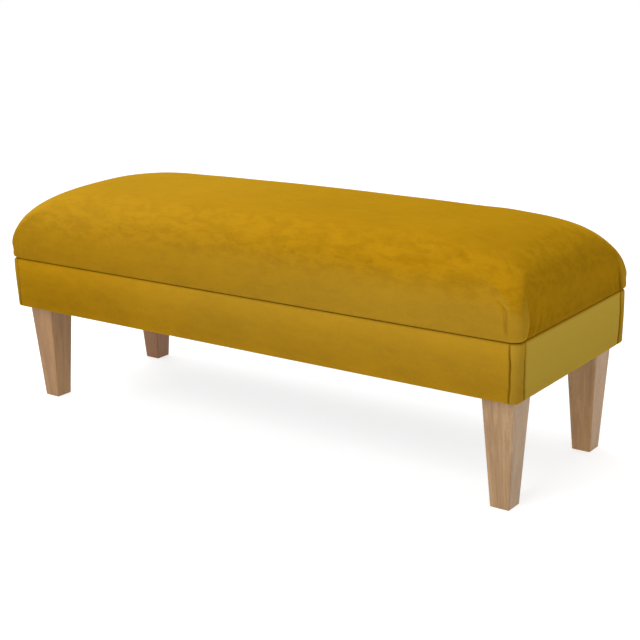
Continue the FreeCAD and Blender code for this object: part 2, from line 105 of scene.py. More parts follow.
# The lid's corners: a pleat on each end, a crease on each long side, gathers and wadding.
PLEAT_DEPTH = 0.0026
CREASE_FOLDS = ((-0.0026, 0.0, 0.0026), (0.0012, 0.007, 0.005), (0.0010, -0.007, 0.005))
LEFT_CREASES = 0.15     # how much of the right corners' crease the left ones have
GATHER_PITCH = 0.021
GATHER_DEPTH = 0.0006
WADDING_WANDER = 0.0011
LEFT_FOOT = 0.0042
RIGHT_FOOT = 0.0018

# The lay of the pile, from 0, seen down into it, to 1, seen along it. These numbers also paint light
# and shade into the colour: painted light on the top, painted shade on the ends and the band, painted
# sheen on the band's ends, painted shade in the seams.
SIDE_LAY_AND_SHADE = 0.378
TOP_LAY_AND_LIGHT = 0.585
END_LAY_AND_SHADE = 0.258
BAND_LAY_AND_SHADE = 0.292
BAND_BRUSHING = 0.04
END_PAINTED_SHEEN = 0.62
SEAM_SHADE = 0.34

# The band's section and its corner seams.
BAND_SPACING = ((0.0011, 0.040), (0.0100, 1.0))
VELVET_THICK = 0.0012
RAIL_CLEAR = 0.0015
RIM_ROUND = 0.003
FACE_ROWS = 22
SIDE_SEAM_WIDTH = 0.0013
END_SEAM_WIDTH = 0.0028
SEAM_DEPTH = 0.0025
LIP_AWAY = 0.0042
LIP_WIDTH = 0.0030
LIP_RISE = 0.0004
LEFT_FLARE = 1.75
RIGHT_FLARE = 0.55
STAPLE_PITCH = 0.045
LEAF_FIT = 0.0005       # the gap round a hinge leaf let into the rim
LEAF_WALL = 0.0004
UNDER_LEAF = 0.0002
RIM_DEPTH = 0.009       # how far down the rim is pressed under a leaf

# The covered boards that line the box.
BOARD_GRID = 0.010
SLACK_WAVES = 9
EDGE_DROP = 0.0007
PUCKER_DEPTH = 0.00025


# ------------------------------------------------------------------ settings
class VelvetSettings(bpy.types.PropertyGroup):
    """Colours and pile of the velvet."""

    # These colours are one velvet in painted shade, in painted light and in painted sheen; the
    # material mixes them by the piece's attributes.
    deep: bpy.props.FloatVectorProperty(
        name="Deep colour", description="Velvet seen into the pile",
        subtype="COLOR", size=4, min=0, max=1, default=(0.155, 0.072, 0.0012, 1))
    lit: bpy.props.FloatVectorProperty(
        name="Lit colour", description="Velvet seen along the brushed pile",
        subtype="COLOR", size=4, min=0, max=1, default=(0.62, 0.319, 0.007, 1))
    sheened: bpy.props.FloatVectorProperty(
        name="Bloomed colour", description="Velvet seen across the pile's tips",
        subtype="COLOR", size=4, min=0, max=1, default=(0.374, 0.264, 0.041, 1))
    pile: bpy.props.FloatProperty(
        name="Pile depth", description="Height of the pile's fine bumps",
        default=0.0004, min=0, unit="LENGTH")
    patch: bpy.props.FloatProperty(
        name="Patchiness", description="How strongly brushed patches show",
        default=0.20, min=0, max=1, subtype="FACTOR")


class LidSettings(bpy.types.PropertyGroup):
    """Shape of the padded lid."""

    ease: bpy.props.FloatProperty(
        name="Ease", description="How far the skin starts inside its finished outline",
        default=0.0025, min=0, unit="LENGTH")
    trim: bpy.props.FloatProperty(
        name="Trim", description="How far the long sides sit inside the cover's widest outline",
        default=0.0018, min=0, unit="LENGTH")
    crown: bpy.props.FloatProperty(
        name="Crown", description="Height of the padding above the board",
        default=0.1137, min=0.01, unit="LENGTH")
    dome: bpy.props.FloatProperty(
        name="Dome", description="Rise of the middle over the shoulders",
        default=0.001, min=0, unit="LENGTH")
    fullness: bpy.props.FloatProperty(
        name="Fullness", description="How soon the crown flattens, going inwards",
        default=5.38, min=1.2, max=12)
    shoulder: bpy.props.FloatProperty(
        name="Shoulder", description="How square the rolled edge is",
        default=2.02, min=1.2, max=6)
    end_roll: bpy.props.FloatProperty(
        name="End roll", description="How much wider the roll is at the ends than along the sides",
        default=1.248, min=0.8, max=2)
    corner: bpy.props.FloatProperty(
        name="Corner radius", description="Radius of the corners at the seam",
        default=0.014, min=0.002, unit="LENGTH")
    growth: bpy.props.FloatProperty(
        name="Corner growth", description="Corner radius gained per unit of inset",
        default=1.85, min=0, max=4)
    bulge: bpy.props.FloatProperty(
        name="Bulge", description="How far the ends swell out just above the board",
        default=0.0045, min=0, unit="LENGTH")
    pressure: bpy.props.FloatProperty(
        name="Pressure", description="How hard the filling pushes on the cover",
        default=4.0, min=0, max=20)
    swell: bpy.props.FloatProperty(
        name="Swell", description="The furthest that the filling may push the cover out",
        default=0.003, min=0, unit="LENGTH")


class BandSettings(bpy.types.PropertyGroup):
    """Shape of the upholstered base."""

    corner: bpy.props.FloatProperty(
        name="Corner radius", description="Radius of the base's upright corners",
        default=0.012, min=0.002, unit="LENGTH")
    lower_edge: bpy.props.FloatProperty(
        name="Lower edge", description="Roundness of the lower edge",
        default=0.0042, min=0.001, unit="LENGTH")
    upper_edge: bpy.props.FloatProperty(
        name="Upper edge", description="Roundness of the upper edge, at the lid's seam",
        default=0.0035, min=0.001, unit="LENGTH")
    side_seam: bpy.props.FloatProperty(
        name="Side seam", description="Each long side's seam, from the corner",
        default=0.0125, min=0.005, unit="LENGTH")
    end_seam: bpy.props.FloatProperty(
        name="End seam", description="Each end's seam, from the corner",
        default=0.024, min=0.005, unit="LENGTH")
    flare: bpy.props.FloatProperty(
        name="Flare", description="How far the ends lean out towards the lid",
        default=0.0025, min=0, unit="LENGTH")
    hang: bpy.props.FloatProperty(
        name="Hang", description="How far the folded lower edge hangs below the panel",
        default=0.0025, min=0, unit="LENGTH")


class StageSettings(bpy.types.PropertyGroup):
    """Camera and lights."""

    place: bpy.props.FloatVectorProperty(
        name="Camera", description="Camera's place", subtype="TRANSLATION", size=3,
        default=(1.4134, -1.8568, 0.8620))
    yaw: bpy.props.FloatProperty(
        name="Yaw", description="Turn from the bench's depth", default=-0.6368, subtype="ANGLE")
    pitch: bpy.props.FloatProperty(
        name="Pitch", description="Downward tilt", default=0.2815, subtype="ANGLE")
    roll: bpy.props.FloatProperty(
        name="Roll", description="Turn about the line of sight", default=-0.0258, subtype="ANGLE")
    lens: bpy.props.FloatProperty(
        name="Lens", description="Focal length in millimetres on a 36 mm sensor", default=75.375)


GROUPS = (("velvet", VelvetSettings), ("lid", LidSettings), ("band", BandSettings),
          ("stage", StageSettings))


def settings(name):
    return getattr(bpy.context.scene, "ottoman_" + name)


# ------------------------------------------------------------------ mesh tools
def deselect():
    if bpy.context.object and bpy.context.object.mode != "OBJECT":
        bpy.ops.object.mode_set(mode="OBJECT")
    bpy.ops.object.select_all(action="DESELECT")


def make_active(piece):
    deselect()
    piece.select_set(True)
    bpy.context.view_layer.objects.active = piece


def apply_modifiers(piece):
    make_active(piece)
    for modifier in list(piece.modifiers):
        bpy.ops.object.modifier_apply(modifier=modifier.name)


def settle_transform(piece):
    make_active(piece)
    bpy.ops.object.transform_apply(location=True, rotation=True, scale=True)


def points_of(piece):
    points = np.empty(len(piece.data.vertices) * 3)
    piece.data.vertices.foreach_get("co", points)
    return points.reshape(-1, 3)


def normals_of(piece):
    normals = np.empty(len(piece.data.vertices) * 3)
    piece.data.vertex_normals.foreach_get("vector", normals)
    return normals.reshape(-1, 3)


def set_points(piece, points):
    piece.data.vertices.foreach_set("co", np.ascontiguousarray(points, dtype=float).ravel())
    piece.data.update()


def store(piece, name, values):
    """Keeps one number per point, for a material to read."""
    attribute = piece.data.attributes.get(name)
    if attribute is None:
        attribute = piece.data.attributes.new(name, "FLOAT", "POINT")
    attribute.data.foreach_set("value", np.asarray(values, dtype=np.float32))


def edge_distances(points, middle, half_x, half_y):
    """Each point's place from a box's middle, and how far in from its nearer end and side."""
    local = points - np.array(middle)
    return local, half_x - np.abs(local[:, 0]), half_y - np.abs(local[:, 1])


def smoothstep(low, high, values):
    share = np.clip((values - low) / (high - low), 0, 1)
    return share * share * (3 - 2 * share)


def bell(values, centre, width):
    return np.exp(-((values - centre) / width) ** 2)


def spaced(length, *stretches):
    """Shares of a length, from a corner's middle to a side's: each stretch is (step, how far)."""
    places = [0.0]
    for step, reach in stretches:
        reach = min(reach, length)
        count = max(1, round((reach - places[-1]) / step))
        places.extend(np.linspace(places[-1], reach, count + 1)[1:])
    return np.array(places) / places[-1]


def perimeter(half_x, half_y, radius, shares_x, shares_y):
    """Points round a rounded rectangle, from the back right corner's middle, counterclockwise."""
    points = []
    corners = ((1, 1), (-1, 1), (-1, -1), (1, -1))
    for turn, (sign_x, sign_y) in enumerate(corners):
        along_x = turn % 2 == 0
        shares = shares_x if along_x else shares_y
        half = half_x if along_x else half_y
        bend = radius * math.pi / 4
        reach = shares * (half - radius + bend)
        angle = math.pi / 4 + np.minimum(reach, bend) / max(radius, TINY)
        run = np.maximum(reach - bend, 0)
        # In a frame where this side runs along the first axis, from its start backwards.
        across = (half_y if along_x else half_x) - radius
        first = half - radius + radius * np.cos(angle) - run
        second = across + radius * np.sin(angle)
        if along_x:
            start = np.column_stack([sign_x * first, sign_y * second])
            end = start[::-1] * (-1, 1)
        else:
            start = np.column_stack([sign_x * second, sign_y * first])
            end = start[::-1] * (1, -1)
        points.append(start[:-1])
        points.append(end[:-1])
    return np.concatenate(points)


def filled_ring(ring, splits):
    """Points and faces that fill a closed ring, from its four arc middles."""
    a, b, c, d = splits
    count = len(ring)
    low = [index % count for index in range(c, d + 1)]
    right = [index % count for index in range(d, a + count + 1)]
    high = [index % count for index in range(b, a - 1, -1)]
    left = [index % count for index in range(c, b - 1, -1)]
    across, up = len(low) - 1, len(right) - 1
    grid = np.empty((up + 1, across + 1), dtype=int)
    grid[0] = low
    grid[-1] = high
    grid[:, 0] = left
    grid[:, -1] = right
    inner = []
    for row in range(1, up):
        v = row / up
        for column in range(1, across):
            u = column / across
            point = (1 - v) * ring[low[column]] + v * ring[high[column]]
            point = point + (1 - u) * ring[left[row]] + u * ring[right[row]]
            corner = (1 - u) * (1 - v) * ring[low[0]] + u * (1 - v) * ring[low[-1]]
            corner = corner + (1 - u) * v * ring[high[0]] + u * v * ring[high[-1]]
            grid[row, column] = count + len(inner)
            inner.append(point - corner)
    faces = []
    for row in range(up):
        for column in range(across):
            faces.append((grid[row, column], grid[row, column + 1],
                          grid[row + 1, column + 1], grid[row + 1, column]))
    return np.array(inner), faces


def recalculate_normals(piece):
    make_active(piece)
    bpy.ops.object.mode_set(mode="EDIT")
    bpy.ops.mesh.select_all(action="SELECT")
    bpy.ops.mesh.remove_doubles(threshold=0.00001)
    bpy.ops.mesh.normals_make_consistent(inside=False)
    bpy.ops.object.mode_set(mode="OBJECT")


def bisect(piece, planes):
    """Cuts a piece's mesh along planes, each a point on it and its normal."""
    make_active(piece)
    bpy.ops.object.mode_set(mode="EDIT")
    for place, normal in planes:
        bpy.ops.mesh.select_all(action="SELECT")
        bpy.ops.mesh.bisect(plane_co=place, plane_no=normal)
    bpy.ops.object.mode_set(mode="OBJECT")


def mesh_piece(name, vertices, faces):
    mesh = bpy.data.meshes.new(name)
    corners = [tuple(point) for point in vertices]
    loops = [tuple(int(index) for index in face) for face in faces]
    mesh.from_pydata(corners, [], loops)
    piece = bpy.data.objects.new(name, mesh)
    bpy.context.scene.collection.objects.link(piece)
    recalculate_normals(piece)
    return piece


def ring_faces(rows, count, loop=False):
    """Quads between rings of equal count; loop joins the last ring to the first."""
    faces = []
    for row in range(rows if loop else rows - 1):
        below = row * count
        above = (row + 1) % rows * count
        for step in range(count):
            beyond = (step + 1) % count
            faces.append((below + step, below + beyond, above + beyond, above + step))
    return faces


def evened(piece, values, rounds):
    """Averages values over each point's neighbours, several times."""
    edges = np.empty(len(piece.data.edges) * 2, dtype=np.int64)
    piece.data.edges.foreach_get("vertices", edges)
    first, second = edges[::2], edges[1::2]
    count = np.bincount(edges, minlength=len(values))[:, None]
    for _ in range(rounds):
        total = np.zeros_like(values)
        for axis in range(values.shape[1]):
            total[:, axis] += np.bincount(first, values[second, axis], len(values))
            total[:, axis] += np.bincount(second, values[first, axis], len(values))
        values = 0.5 * values + 0.5 * total / np.maximum(count, 1)
    return values


def settle_cloth(piece, pressure, cap, pinned):
    """Blows the cloth up a little, with some points held, and keeps the result."""
    before = points_of(piece)
    group = piece.vertex_groups.new(name="held")
    for index in np.flatnonzero(pinned):
        group.add([int(index)], 1.0, "REPLACE")
    cloth = piece.modifiers.new("Cloth", "CLOTH")
    for name, value in COVER_CLOTH.items():
        setattr(cloth.settings, name, value)
    cloth.settings.use_pressure = True
    cloth.settings.uniform_pressure_force = pressure
    cloth.settings.effector_weights.gravity = 0
    cloth.settings.vertex_group_mass = "held"
    cloth.collision_settings.use_collision = False
    cloth.collision_settings.use_self_collision = False
    cloth.point_cache.frame_start = 1
    cloth.point_cache.frame_end = CLOTH_FRAMES
    scene = bpy.context.scene
    for number in range(1, CLOTH_FRAMES + 1):
        scene.frame_set(number)
    settled = piece.evaluated_get(bpy.context.evaluated_depsgraph_get())
    after = np.empty(len(settled.data.vertices) * 3)
    settled.data.vertices.foreach_get("co", after)
    moved = evened(piece, after.reshape(-1, 3) - before, CLOTH_EVENING)
    length = np.linalg.norm(moved, axis=1, keepdims=True)
    # Soft cap: short moves stay, long ones level off at the cap.
    moved *= cap * np.tanh(length / cap) / np.maximum(length, TINY)
    piece.modifiers.remove(cloth)
    piece.vertex_groups.remove(group)
    scene.frame_set(1)
    set_points(piece, before + moved)


def smooth_shading(piece):
    make_active(piece)
    bpy.ops.object.shade_smooth()


# ------------------------------------------------------------------ materials
def new_group(name, inputs, outputs):
    """An empty node group with named sockets."""
    group = bpy.data.node_groups.new(name, "ShaderNodeTree")
    for socket, kind, default in inputs:
        made = group.interface.new_socket(socket, in_out="INPUT", socket_type=kind)
        made.default_value = default
    for socket, kind in outputs:
        group.interface.new_socket(socket, in_out="OUTPUT", socket_type=kind)
    entry = group.nodes.new("NodeGroupInput")
    leaving = group.nodes.new("NodeGroupOutput")
    return group, entry.outputs, leaving.inputs


def feed(links, socket, value):
    """Links a socket to another, or sets it."""
    if isinstance(value, bpy.types.NodeSocket):
        links.new(value, socket)
    else:
        socket.default_value = value


def math_node(tree, operation, first, second=0.5, clamp=False):
    node = tree.nodes.new("ShaderNodeMath")
    node.operation = operation
    node.use_clamp = clamp
    feed(tree.links, node.inputs[0], first)
    feed(tree.links, node.inputs[1], second)
    return node.outputs[0]


def mix_colour(tree, factor, first, second, blend="MIX"):
    node = tree.nodes.new("ShaderNodeMix")
    node.data_type = "RGBA"
    node.blend_type = blend
    node.clamp_factor = True
    feed(tree.links, node.inputs[0], factor)
    feed(tree.links, node.inputs[6], first)
    feed(tree.links, node.inputs[7], second)
    return node.outputs[2]


def map_range(tree, value, low, high, to_low=0.0, to_high=1.0):
    node = tree.nodes.new("ShaderNodeMapRange")
    node.interpolation_type = "SMOOTHSTEP"
    feed(tree.links, node.inputs[0], value)
    for index, number in enumerate((low, high, to_low, to_high), start=1):
        feed(tree.links, node.inputs[index], number)
    return node.outputs[0]


def object_point(tree, scale=(1, 1, 1), location=(0, 0, 0)):
    """Object coordinates, scaled along each axis."""
    source = tree.nodes.new("ShaderNodeTexCoord")
    mapping = tree.nodes.new("ShaderNodeMapping")
    mapping.inputs["Scale"].default_value = scale
    mapping.inputs["Location"].default_value = location
    tree.links.new(source.outputs["Object"], mapping.inputs["Vector"])
    return mapping.outputs[0]


def noise(tree, vector, scale, detail=2.0, roughness=0.5, distortion=0.0):
    node = tree.nodes.new("ShaderNodeTexNoise")
    tree.links.new(vector, node.inputs["Vector"])
    node.inputs["Scale"].default_value = scale
    node.inputs["Detail"].default_value = detail
    node.inputs["Roughness"].default_value = roughness
    node.inputs["Distortion"].default_value = distortion
    return node.outputs["Fac"]


def attribute(tree, name):
    node = tree.nodes.new("ShaderNodeAttribute")
    node.attribute_type = "GEOMETRY"
    node.attribute_name = name
    return node.outputs["Fac"]


def velvet_pile_group():
    """Brushed patches, short streaks and the pile's own fine grain, over painted light, shade and
    sheen mixed from the piece's attributes.
    """
    group, taken, given = new_group(
        "Velvet pile and shading",
        (("Shaded", "NodeSocketColor", (0.2, 0.1, 0.004, 1)),
         ("Lit", "NodeSocketColor", (0.5, 0.3, 0.02, 1)),
         ("Sheened", "NodeSocketColor", (0.3, 0.2, 0.05, 1)),
         ("Nap and shading", "NodeSocketFloat", 0.5),
         ("Painted sheen", "NodeSocketFloat", 0.0),
         ("Patches", "NodeSocketFloat", 0.3),
         ("Brushing", "NodeSocketFloat", 0.0)),
        (("Colour", "NodeSocketColor"), ("Roughness", "NodeSocketFloat"),
         ("Height", "NodeSocketFloat")))
    wide = noise(group, object_point(group, (1, 1.4, 1.6)), 6.5, 3, 0.55, 0.4)
    streaks = noise(group, object_point(group, (1.0, 1.7, 2.6)), 34, 3, 0.55, 0.35)
    flecks = noise(group, object_point(group, (1.0, 2.2, 3.2)), 75, 2, 0.5, 0.2)
    fibre = noise(group, object_point(group), 900, 2, 0.6)
    fine = noise(group, object_point(group), 240, 3, 0.6)
    drift = math_node(group, "MULTIPLY", math_node(group, "SUBTRACT", wide), taken["Patches"])
    rubbed = math_node(group, "SUBTRACT", map_range(group, streaks, 0.34, 0.64), 0.62)
    spots = math_node(group, "MULTIPLY", map_range(group, flecks, 0.58, 0.72), -0.7)
    rubbed = math_node(group, "ADD", rubbed, spots)
    brushed = math_node(group, "MULTIPLY", rubbed, taken["Brushing"])
    grain = math_node(group, "MULTIPLY", math_node(group, "SUBTRACT", fibre), 0.12)
    speckle = math_node(group, "MULTIPLY", math_node(group, "SUBTRACT", fine), 0.12)
    nap_and_shading = math_node(group, "ADD", taken["Nap and shading"], drift)
    nap_and_shading = math_node(group, "ADD", nap_and_shading, brushed)
    nap_and_shading = math_node(group, "ADD", nap_and_shading, grain)
    nap_and_shading = math_node(group, "ADD", nap_and_shading, speckle, clamp=True)
    # Painted light and shade: the shaded and lit colours are mixed, then painted sheen is laid over
    # them.
    shaded_to_lit = mix_colour(group, nap_and_shading, taken["Shaded"], taken["Lit"])
    group.links.new(mix_colour(group, taken["Painted sheen"], shaded_to_lit, taken["Sheened"]), given["Colour"])
    group.links.new(map_range(group, nap_and_shading, 0, 1, 0.95, 0.80), given["Roughness"])
    height = math_node(group, "ADD", math_node(group, "ADD", fibre, fine), brushed)
    group.links.new(height, given["Height"])
    return group


def shared_group(name, maker):
    return bpy.data.node_groups.get(name) or maker()


def new_material(name):
    material = bpy.data.materials.new(name)
    material.use_nodes = True
    tree = material.node_tree
    shader = tree.nodes["Principled BSDF"]
    return material, tree, shader


def bump(tree, shader, height, distance, strength=1.0):
    node = tree.nodes.new("ShaderNodeBump")
    node.inputs["Strength"].default_value = strength
    node.inputs["Distance"].default_value = distance
    tree.links.new(height, node.inputs["Height"])
    tree.links.new(node.outputs[0], shader.inputs["Normal"])


def group_node(tree, group, values):
    node = tree.nodes.new("ShaderNodeGroup")
    node.node_tree = group
    for name, value in values.items():
        feed(tree.links, node.inputs[name], value)
    return node.outputs


def show(tree, shader, look, depth, strength):
    """Links a look's colour, roughness and height to the shader."""
    tree.links.new(look["Colour"], shader.inputs["Base Color"])
    if "Roughness" in look:
        tree.links.new(look["Roughness"], shader.inputs["Roughness"])
    bump(tree, shader, look["Height"], depth, strength)


def velvet(name):
    """Mustard velvet; the piece's painted light and shade, painted sheen and brushing are its own
    attributes.
    """
    look = settings("velvet")
    material, tree, shader = new_material(name)
    pile = group_node(tree, shared_group("Velvet pile and shading", velvet_pile_group), {
        "Shaded": look.deep, "Lit": look.lit, "Sheened": look.sheened, "Nap and shading": attribute(tree, "nap_and_shading"),
        "Painted sheen": attribute(tree, "painted_sheen"), "Patches": look.patch,
        "Brushing": attribute(tree, "brushing")})
    shader.inputs["Specular IOR Level"].default_value = 0.01
    shader.inputs["Sheen Weight"].default_value = 0.26
    shader.inputs["Sheen Roughness"].default_value = 0.4
    shader.inputs["Sheen Tint"].default_value = (1.0, 0.62, 0.0, 1)
    show(tree, shader, pile, look.pile, 0.5)
    return material


def wood_group():
    """Straight grain along Z: growth bands, fine pores and short flecks."""
    group, taken, given = new_group(
        "Straight grain",
        (("Light", "NodeSocketColor", (0.6, 0.42, 0.24, 1)),
         ("Dark", "NodeSocketColor", (0.36, 0.22, 0.1, 1)),
         ("Flecks", "NodeSocketFloat", 0.5)),
        (("Colour", "NodeSocketColor"), ("Roughness", "NodeSocketFloat"),
         ("Height", "NodeSocketFloat")))
    bands = noise(group, object_point(group, (1, 1, 0.05)), 130, 4, 0.6, 0.9)
    drift = noise(group, object_point(group, (1, 1, 0.22)), 22, 2, 0.5, 0.4)
    pores = noise(group, object_point(group, (1, 1, 0.035)), 900, 2, 0.7)
    flecks = noise(group, object_point(group, (1, 1, 0.16)), 620, 1, 0.4)
    figure = math_node(group, "ADD", math_node(group, "MULTIPLY", bands, 0.62),
                       math_node(group, "MULTIPLY", drift, 0.5))
    share = map_range(group, figure, 0.4, 0.74)
    flecked = map_range(group, flecks, 0.60, 0.72)
    dark_flecks = math_node(group, "MULTIPLY", flecked, taken["Flecks"])
    dark_pores = math_node(group, "MULTIPLY", map_range(group, pores, 0.56, 0.74), 0.35)
    marks = math_node(group, "ADD", dark_flecks, dark_pores, clamp=True)
    body = mix_colour(group, share, taken["Light"], taken["Dark"])
    group.links.new(mix_colour(group, marks, body, taken["Dark"]), given["Colour"])
    group.links.new(map_range(group, marks, 0, 1, 0.42, 0.62), given["Roughness"])
    sunk = math_node(group, "MULTIPLY", marks, -1.0)
    group.links.new(math_node(group, "ADD", sunk, math_node(group, "MULTIPLY", bands, 0.4)),
                    given["Height"])
    return group


def lacquered_beech(name, depth, paleness):
    """Beech under thin lacquer: depth scales the whole colour, paleness its green and blue."""
    material, tree, shader = new_material(name)
    tint = (depth, depth ** 1.25 * paleness, depth ** 1.6 * paleness ** 4)
    light, dark = ((*(channel * share for channel, share in zip(colour, tint)), 1)
                   for colour in ((0.475, 0.300, 0.145), (0.315, 0.180, 0.074)))
    grain = group_node(tree, shared_group("Straight grain", wood_group), {
        "Light": light, "Dark": dark, "Flecks": 0.55})
    shader.inputs["Coat Weight"].default_value = 0.18
    shader.inputs["Coat Roughness"].default_value = 0.35
    show(tree, shader, grain, 0.00025, 0.5)
    return material


def plain_timber(name, light, dark):
    material, tree, shader = new_material(name)
    grain = group_node(tree, shared_group("Straight grain", wood_group), {
        "Light": light, "Dark": dark, "Flecks": 0.2})
    show(tree, shader, grain, 0.0003, 0.5)
    return material


def weave_group():
    """A plain weave with uneven threads."""
    group, taken, given = new_group(
        "Plain weave",
        (("Light", "NodeSocketColor", (0.6, 0.55, 0.42, 1)),
         ("Dark", "NodeSocketColor", (0.4, 0.35, 0.25, 1)),
         ("Threads", "NodeSocketFloat", 900.0)),
        (("Colour", "NodeSocketColor"), ("Height", "NodeSocketFloat")))
    position = object_point(group)
    split = group.nodes.new("ShaderNodeSeparateXYZ")
    group.links.new(position, split.inputs[0])
    upright = math_node(group, "ADD", split.outputs[1], split.outputs[2])
    waves = []
    for line in (split.outputs[0], upright):
        turned = math_node(group, "MULTIPLY", line, taken["Threads"])
        waves.append(math_node(group, "SINE", math_node(group, "MULTIPLY", turned, FULL_TURN)))
    crossed = math_node(group, "MULTIPLY", waves[0], waves[1])
    slub_x = noise(group, object_point(group, (8, 300, 300)), 1.0, 2, 0.6)
    slub_y = noise(group, object_point(group, (300, 8, 8)), 1.0, 2, 0.6)
    slub = math_node(group, "ADD", slub_x, slub_y)
    share = math_node(group, "ADD", math_node(group, "MULTIPLY", crossed, 0.25),
                      math_node(group, "MULTIPLY", slub, 0.5), clamp=True)
    group.links.new(mix_colour(group, share, taken["Dark"], taken["Light"]), given["Colour"])
    group.links.new(math_node(group, "ADD", crossed, slub), given["Height"])
    return group


def calico():
    material, tree, shader = new_material("calico")
    weave = group_node(tree, shared_group("Plain weave", weave_group), {
        "Light": (0.66, 0.585, 0.44, 1), "Dark": (0.50, 0.43, 0.31, 1), "Threads": 700.0})
    shader.inputs["Roughness"].default_value = 0.9
    shader.inputs["Sheen Weight"].default_value = 0.15
    show(tree, shader, weave, 0.00025, 0.4)
    return material


def black_dust_cloth():
    material, tree, shader = new_material("black_dust_cloth")
    weave = group_node(tree, shared_group("Plain weave", weave_group), {
        "Light": (0.030, 0.030, 0.034, 1), "Dark": (0.008, 0.008, 0.009, 1), "Threads": 420.0})
    shader.inputs["Roughness"].default_value = 0.85
    show(tree, shader, weave, 0.0003, 0.5)
    return material


def worn_metal_group():
    """Fine scratches, soft dullness and dark spots of age."""
    group, taken, given = new_group(
        "Plated wear",
        (("Bright", "NodeSocketColor", (0.6, 0.6, 0.6, 1)),
         ("Dull", "NodeSocketColor", (0.3, 0.3, 0.3, 1)),
         ("Polish", "NodeSocketFloat", 0.3)),
        (("Colour", "NodeSocketColor"), ("Roughness", "NodeSocketFloat"),
         ("Height", "NodeSocketFloat")))
    cloud = noise(group, object_point(group), 90, 4, 0.6)
    scratch = noise(group, object_point(group, (18, 260, 260)), 6, 3, 0.7)
    share = map_range(group, math_node(group, "MULTIPLY", cloud, scratch), 0.16, 0.4)
    group.links.new(mix_colour(group, share, taken["Bright"], taken["Dull"]), given["Colour"])
    spread = math_node(group, "MULTIPLY", share, 0.22)
    group.links.new(math_node(group, "ADD", taken["Polish"], spread), given["Roughness"])
    group.links.new(scratch, given["Height"])
    return group


def plated_steel(name, bright, dull, polish):
    material, tree, shader = new_material(name)
    wear = group_node(tree, shared_group("Plated wear", worn_metal_group), {
        "Bright": bright, "Dull": dull, "Polish": polish})
    shader.inputs["Metallic"].default_value = 1.0
    show(tree, shader, wear, 0.0001, 0.4)
    return material


def dress(material, *names):
    """Gives CAD parts their finish."""
    for name in names:
        slots = NODES[name].data.materials
        slots.clear()
        slots.append(material)


def finished(piece, material, body, slot, *stood_for):
    """A made piece's last steps: its finish, the body it rides on, the parts it stands for."""
    settle_transform(piece)
    piece.data.materials.clear()
    piece.data.materials.append(material)
    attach(piece, body)
    if stood_for:
        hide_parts(*stood_for)
    return piece


# ------------------------------------------------------------------ the lid
def lid_skin(shape):
    """Rings from the seam up: the tucked edge, the board's side, then the rolled crown."""
    half_x = LID_HALF_X
    half_y = LID_HALF_Y - shape.trim
    bottom = LID_LOW.z
    board_top = BOARD_HIGH.z
    shares = [spaced(half, *LID_SPACING) for half in (half_x, half_y)]
    rings = []

    def ring(inset_x, inset_y, radius, z):
        flat = perimeter(half_x - inset_x, half_y - inset_y, radius, *shares)
        flat = flat + (LID_MIDDLE.x, LID_MIDDLE.y)
        rings.append(np.column_stack([flat, np.full(len(flat), z)]))

    def bulge_at(z):
        return bell(z, board_top + BULGE_RISE, BULGE_SPREAD)

    # Underside: the cover's flat return, then the tucked lower edge.
    for step in range(RETURN_ROWS):
        inset = RETURN_REACH * (1 - step / RETURN_ROWS) + RETURN_CLEAR
        ring(inset, inset, RETURN_CLEAR, bottom)
    for step in range(TUCK_ROWS):
        angle = step / (TUCK_ROWS - 1) * math.pi / 2
        inset = TUCK * (1 - math.sin(angle)) + TUCK_INSET
        ring(inset, inset, shape.corner, bottom + TUCK * (1 - math.cos(angle)))
    side = board_top - bottom
    for step in range(1, SIDE_ROWS + 1):
        share = step / SIDE_ROWS
        inset = TUCK_INSET * (1 - math.sin(share * math.pi / 2))
        z = bottom + TUCK + share * (side - TUCK)
        full = bulge_at(z) - bulge_at(bottom)
        side_inset = inset - SIDE_BULGE * shape.bulge * full
        ring(inset - shape.bulge * full, side_inset, shape.corner, z)
    for step in range(1, CROWN_ROWS + 1):
        share = step / CROWN_ROWS
        # Even steps along the section: mostly upward first, then mostly inward.
        height = math.sin(min(1.0, share * CROWN_TURN) * math.pi / 2)
        bent = 1 - (1 - min(height, 0.9999) ** shape.shoulder) ** (1 / shape.fullness)
        inward = max(bent, CROWN_REACH * max(0.0, share - INWARD_FROM) / (1 - INWARD_FROM))
        height = (1 - (1 - inward) ** shape.fullness) ** (1 / shape.shoulder)
        inset = half_y * inward + shape.ease * math.sin(share * math.pi / 2)
        z = board_top + height * shape.crown
        full = bulge_at(z)
        inset_x = inset * shape.end_roll - shape.bulge * full
        inset -= SIDE_BULGE * shape.bulge * full
        radius = shape.corner + shape.growth * inset
        ring(inset_x, inset, min(radius, ROUNDEST * (half_y - inset)), z)
    side_counts = [2 * (len(share) - 1) for share in shares]
    return rings, side_counts


def make_lid_skin(shape):
    rings, (count_x, count_y) = lid_skin(shape)
    count = len(rings[0])
    vertices = np.concatenate(rings)
    faces = ring_faces(len(rings), count)
    splits = (0, count_x, count_x + count_y, 2 * count_x + count_y)
    last = (len(rings) - 1) * count
    for ring, base, lift in ((rings[-1], last, shape.dome), (rings[0], 0, 0.0)):
        inner, fill = filled_ring(ring, splits)
        spread = (inner[:, :2] - (LID_MIDDLE.x, LID_MIDDLE.y)) / np.abs(ring[:, :2]).max(axis=0)
        along = np.clip(1 - spread[:, 0] ** 4, 0, 1)
        across = np.clip(1 - spread[:, 1] ** 2, 0, 1)
        inner[:, 2] += lift * along * across
        first = len(vertices)
        vertices = np.concatenate([vertices, inner])
        for face in fill:
            faces.append([base + i if i < count else first + i - count for i in face])
    return mesh_piece("lid_pad", vertices, faces)


